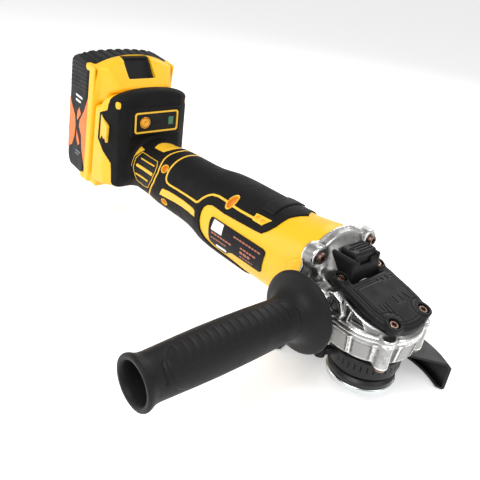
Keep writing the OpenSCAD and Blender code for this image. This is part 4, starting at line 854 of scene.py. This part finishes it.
# indicator frame, button rings and marks
def fr_pos(u, v, h):
    return -249.4 + h, u, v
def rr(U, V, a, b, c, d, r):
    return d_box(U, V, 0 * U, (a, b, -50), (c, d, 50), r)
gy, gz = np.arange(-24, 24, 0.35), np.arange(89, 112, 0.35)
patch("indicator_rim", lambda U, V: np.maximum(rr(U, V, -21.8, 90.9, 21.8, 109.1, 2.6), -rr(U, V, -20.3, 92.4, 20.3, 107.6, 1.6)), fr_pos, gy, gz, M_yel2, "housing", top=0.7, edge=0.3, bottom=-1.2, rnd=0.5)
patch("indicator_face", lambda U, V: np.maximum(rr(U, V, -20.2, 92.5, 20.2, 107.5, 1.4), -(L(U + 11.5, V - 100) - 4.0)), fr_pos, gy, gz, M_label, "housing", top=-0.3, edge=-0.5, bottom=-0.9, rnd=0.4)
patch("indicator_button_rim", lambda U, V: np.abs(L(U + 11.5, V - 100) - 4.5) - 0.4, fr_pos, np.arange(-18, -5, 0.2), np.arange(93, 107, 0.2), M_amber, "housing", top=0.15, edge=-0.1, bottom=-0.7, rnd=0.3)
marks = [((-5.4, 97.2), (-5.4, 102.6)), ((-2.2, 97.4), (-2.2, 102.8)), ((1.0, 97.6), (1.0, 103.0)), ((4.2, 97.8), (4.2, 103.2)), ((8.2, 102.6), (9.0, 102.6)), ((8.2, 100.2), (9.0, 100.2)), ((8.2, 97.6), (9.0, 97.6))]
patch("indicator_marks", lambda U, V: np.minimum.reduce([d_line(U, V, m) - 0.42 for m in marks]), fr_pos, np.arange(-7, 11, 0.2), np.arange(96, 105, 0.2), M_grey, "housing", top=-0.2, edge=-0.25, bottom=-0.5, rnd=0.2)
patch("indicator_light", lambda U, V: rr(U, V, 12.4, 98.2, 15.0, 103.8, 0.5), fr_pos, np.arange(11, 17, 0.2), np.arange(96, 106, 0.2), M_lens, "housing", top=-0.1, edge=-0.3, bottom=-0.7, rnd=0.4)
def f_ib(x, y, z):
    r = L(y + 11.5, z - 100)
    b = ext(r - 3.7, x, -252.2, -248.7, 0.7)
    return smax(b, -(L(x + 247.4, y + 11.5, z - 100) - 2.2), 0.3)
o = vol("mode_key", f_ib, (-253, -16, 95.5), (-248, -7, 104.5), 0.22, M_amber, "mode_button")
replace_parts(o, "indicator_button")

# ---------------------------------------------------------------- battery
NOSE = [(4, 20), (13, 22.5), (21, 27), (22.5, 33.5), (30.4, 38.0), (31.0, 41.5), (10.5, 61.2), (7.2, 62.4), (4, 61.5)]
NPLAN = [(0, -38.2), (9, -38.2), (15, -33.5), (33, -23.5), (33, 23.5), (15, 33.5), (9, 38.2), (0, 38.2)]
BC = Vector((14.2, 0, 52.4)); BA = rad(41.4)
def f_shell(x, y, z):
    ay = np.abs(y)
    slab = smax(ext(d_box(y, z, 0 * y, (-39.3, -54.5, -9), (39.3, 58.6, 9), 5), x, 4.05, 13.2, 1.6), -99 + 0 * x, 1)
    nose = smax(d_poly(x, z, NOSE), d_poly(x, y, NPLAN), 3.5)
    b = smin(slab, nose, 3.0)
    b = smax(b, z - (61.8 - 0.0068 * y * y), 2.5)
    b = smax(b, ay - (38.9 - 0.10 * np.maximum(z - 28, 0)), 2.0)
    # side beads with their hooked ends
    bead = d_box(x, ay, z, (4.2, 38.0, -54.0), (12.6, 40.2, 53.0), 1.2)
    b = smin(b, bead, 1.2)
    b = smax(b, -np.maximum(np.abs(x - 13.4) - 0.3, np.maximum(37.8 - ay, 1 - (z + 60))), 0.5)
    for zz, s in ((50.6, 1), (-52.0, 1)):
        b = smin(b, d_cyl(x, z, ay, 1.4, zz, 3.2, 34, 40.4, 0.8), 1.6)
    # lower feet
    b = smin(b, d_box(x, ay, z, (13, 24, -54.2), (22.5, 37.4, -45.5), 1.6), 2.5)
    b = smin(b, d_box(x, y, z, (12.9, -20, -28), (16.8, 20, 25), 0.2), 0.3)
    b = smin(b, d_box(x, y, z, (16.7, -25, -28), (20.4, 25, 25), 0.3), 0.2)
    for k in (-1.5, -0.5, 0.5, 1.5):
        b = np.maximum(b, -d_box(x, y, z, (12, k * 6 - 0.9, -30), (22, k * 6 + 0.9, -14)))
    # seat of the release button
    u = (x - BC.x) * math.cos(BA) + (z - BC.z) * math.sin(BA)
    v = -(x - BC.x) * math.sin(BA) + (z - BC.z) * math.cos(BA)
    hole = np.minimum(np.maximum(np.maximum(ay - (13.4 - 0.0 * v), np.abs(v - 0.35) - 11.1), -(u + 4.5)), np.maximum(L(ay, v) - 4.2, -(u + 8.2)))
    b = smax(b, -hole, 0.7)
    return b
o = vol("battery_yellow", f_shell, (-3, -42, -56), (32, 42, 64), 0.72, M_yel, "battery", M=BAT)
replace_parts(o, "battery_shell")
CASE = [(4, -54.5), (-25, -54.5), (-36.0, -43), (-36.0, 42), (-31, 49.5), (-22, 53), (-20, 57.6), (4, 58)]
def f_bcase(x, y, z):
    ay = np.abs(y)
    b = smax(d_poly(x, z, CASE), ay - 39.4 + 0 * x, 6.0)
    b = smax(b, -x - 35.9 + np.maximum(ay - 33, 0) * 0.9, 5.0)
    b = smax(b, z - (58.3 - 0.0028 * y * y), 3.0)
    b = np.maximum(b, x - 3.9)
    # raised bars on the upper flanks
    t = z - (x * 0.13) - 47.2
    k = np.round(t / 3.7)
    bar = np.abs(t - k * 3.7) - 1.15
    win = np.maximum(np.maximum(-27.5 - x, x - 2.5), np.maximum(28.5 - z + 0.12 * x, z - 50))
    b = smin(b, np.maximum(np.maximum(b - 0.55, bar), win), 0.8)
    # long bars over the top
    kk = np.round(y / 8.6)
    tb = np.abs(y - kk * 8.6) - 2.3
    b = smin(b, np.maximum(np.maximum(b - 0.7, tb), np.maximum(49 - z + 0 * x, ay - 33)), 1.0)
    # shallow panel on the back
    b = smax(b, -np.maximum(np.maximum(x + 35.3, ay - 27), np.abs(z + 1) - 36), 0.8)
    b = smax(b, -np.maximum(np.abs(np.maximum(np.abs(z - 0) - 30, ay - 21)) - 0.4, x + 34.4), 0.4)
    b = np.maximum(b, -np.maximum(np.maximum(ay - 36.2, np.abs(z - 0.5) - 48.6), np.maximum(-33 - x + np.maximum(ay - 31, 0) * 1.2 + np.maximum(np.abs(z) - 40, 0) * 1.1, x - 3)))
    return b
o = vol("battery_black", f_bcase, (-37.5, -41, -56), (5.5, 41, 59.5), 0.72, M_blk, "battery", M=BAT)
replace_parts(o, "battery_case")
BANDS = [[(-28.2, 13.6), (-25.0, 8.2), (-17.4, -1.0), (-15.6, -9), (-16.6, -20.5), (-20.8, -31.0), (-28.2, -36.4)],
         [(3.7, 23.5), (-1.6, 9.5), (-8.4, -1.6), (-9.6, -8.2), (-4.6, -14.5), (-2.4, -27.5), (3.7, -43.0)],
         [(-13.4, 4.6), (-10.4, 9.6), (-7.0, 4.6), (-13.2, -4.2), (-13.8, -1)], [(-13.4, -13.2), (-9.6, -19.0), (-6.8, -24.0), (-9.6, -27.6), (-13.2, -21.5)]]
WH = [[(-16.6, 19.0), (-6.6, 19.0)], [(-16.6, 14.6), (-9.4, 14.6)]]
GB = [[(-12.6, -33.0), (-5.2, -33.0)], [(-12.6, -36.0), (-7.8, -36.0)]]
gx, gzz = np.arange(-30, 4.6, 0.4), np.arange(-45, 26, 0.4)
for sg, tag in ((-1, "right"), (1, "left")):
    patch("battery_bands_" + tag, lambda U, V: np.minimum.reduce([d_poly(U, V, q) for q in BANDS]), side_pos(sg, 39.35), gx, gzz, M_graph, "battery", top=0.28, edge=0.16, bottom=-1.2, rnd=0.4, M=BAT)
    patch("battery_white_" + tag, lambda U, V: np.minimum.reduce([d_line(U, V, q) - 1.0 for q in WH]), side_pos(sg, 39.35), np.arange(-18, -4, 0.3), np.arange(12, 22, 0.3), M_white, "battery", top=0.28, edge=0.16, bottom=-0.4, rnd=0.3, M=BAT)
    patch("battery_grey_" + tag, lambda U, V: np.minimum.reduce([d_line(U, V, q) - 0.7 for q in GB]), side_pos(sg, 39.35), np.arange(-14, -3, 0.3), np.arange(-38, -31, 0.3), M_grey, "battery", top=0.28, edge=0.16, bottom=-0.4, rnd=0.3, M=BAT)
BTN = BAT @ Matrix.Translation(BC) @ Matrix.Rotation(-BA, 4, "Y")
def f_rb(x, y, z):
    b = d_box(x, y, z, (-1.2, -13.0, -10.2), (1.0, 13.0, 10.2), 0.7)
    b = smax(b, -np.maximum(-0.2 - x, np.maximum(np.abs(y) - 10.8, np.abs(z + 0.6) - 8.4)), 0.8)
    b = smin(b, d_box(x, y, z, (-1, 8.2, -6.6), (0.9, 8.9, 6.0), 0.2), 0.3)
    return b
o = vol("release_key", f_rb, (-3, -14, -11), (2, 14, 11), 0.35, M_blk, "battery_latch", M=BTN)
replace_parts(o, "battery_release_button")
def coil():
    n, m, turns = 160, 12, 4.0
    P, F = [], []
    for i in range(n):
        t = i / (n - 1); a = 2 * math.pi * turns * t
        c = np.array([-7.7 + 3.4 * t, 3.0 * math.cos(a), 3.0 * math.sin(a)])
        r1 = np.array([0, math.cos(a), math.sin(a)]); r2 = np.array([1.0, 0, 0])
        for k in range(m):
            b = 2 * math.pi * k / m
            P.append(tuple(c + 0.36 * (math.cos(b) * r1 + math.sin(b) * r2)))
    for i in range(n - 1):
        for k in range(m):
            F.append([i * m + k, (i + 1) * m + k, (i + 1) * m + (k + 1) % m, i * m + (k + 1) % m])
    F.append(list(range(m))); F.append([(n - 1) * m + k for k in reversed(range(m))])
    return make("release_coil", P, F, M_steel, "battery", M=BTN)
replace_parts(coil(), "button_spring")

# ---------------------------------------------------------------- floor, light and camera
def floor():
    n = 40
    g = np.linspace(-1, 1, n); g = np.sign(g) * (1.2 * np.abs(g) + 10.8 * np.abs(g) ** 4)
    X, Y = np.meshgrid(g, g, indexing="ij")
    z = CAD_BOX[0][2] - 0.0004
    P = np.stack([X.ravel() - 0.12, Y.ravel(), np.full(n * n, z)], 1) / MM
    i = np.arange(n * n).reshape(n, n)
    Q = np.stack([i[:-1, :-1], i[1:, :-1], i[1:, 1:], i[:-1, 1:]], -1).reshape(-1, 4)
    me = bpy.data.meshes.new("studio_floor"); me.from_pydata((P * MM).tolist(), [], Q.tolist()); me.update()
    o = bpy.data.objects.new("studio_floor", me); COL.objects.link(o)
    me.materials.append(surface("floor_paper", (0.93, 0.93, 0.93), 0.7, vary=0.01, vscale=3, bump=0.01, bscale=300, spec=0.2))
    for nd in me.materials[0].node_tree.nodes:
        if nd.type == "BSDF_PRINCIPLED":
            nd.inputs["Emission Color"].default_value = (1, 1, 1, 1)
            nd.inputs["Emission Strength"].default_value = 0.38
floor()
w = bpy.data.worlds.new("studio") if not bpy.context.scene.world else bpy.context.scene.world
bpy.context.scene.world = w; w.use_nodes = True
bg = w.node_tree.nodes.get("Background") or w.node_tree.nodes.new("ShaderNodeBackground")
bg.inputs["Color"].default_value = (1, 1, 1, 1); bg.inputs["Strength"].default_value = 0.50
def area(name, loc, aim, size, power, sy=None):
    d = bpy.data.lights.new(name, "AREA"); d.energy = power; d.size = size
    if sy:
        d.shape = "RECTANGLE"; d.size_y = sy
    o = bpy.data.objects.new(name, d); COL.objects.link(o)
    o.location = loc
    o.rotation_euler = (Vector(aim) - Vector(loc)).to_track_quat("-Z", "Y").to_euler()
area("key", (0.15, -0.75, 0.95), (-0.12, 0, 0.05), 0.7, 8.5)
area("rim", (-0.35, 0.75, 0.75), (-0.12, 0, 0.05), 0.7, 4.5)
area("fill", (-0.9, -0.65, 0.45), (-0.15, 0, 0.06), 0.6, 2.6)
area("strip", (0.75, 0.15, 0.55), (0.0, 0, 0.05), 0.3, 1.8, 0.9)
bpy.context.scene.view_settings.view_transform = "Standard"
az, el, roll = rad(45.5), rad(27.5), rad(8.1)
back = Vector((math.sin(az) * math.cos(el), -math.cos(az) * math.cos(el), math.sin(el)))
xx = Vector((0, 0, 1)).cross(back).normalized(); yy = back.cross(xx)
X2 = math.cos(roll) * xx + math.sin(roll) * yy; Y2 = -math.sin(roll) * xx + math.cos(roll) * yy
cam = bpy.data.cameras.new("camera"); cam.lens = 42.75; cam.sensor_width = 36
cam.clip_start = 0.01; cam.clip_end = 20
co = bpy.data.objects.new("camera", cam); COL.objects.link(co)
Mx = Matrix.Identity(4)
for r in range(3):
    Mx[r][0], Mx[r][1], Mx[r][2] = X2[r], Y2[r], back[r]
Mx[0][3], Mx[1][3], Mx[2][3] = 0.14972, -0.27301, 0.24573
co.matrix_world = Mx
bpy.context.scene.camera = co

bpy.context.view_layer.update()
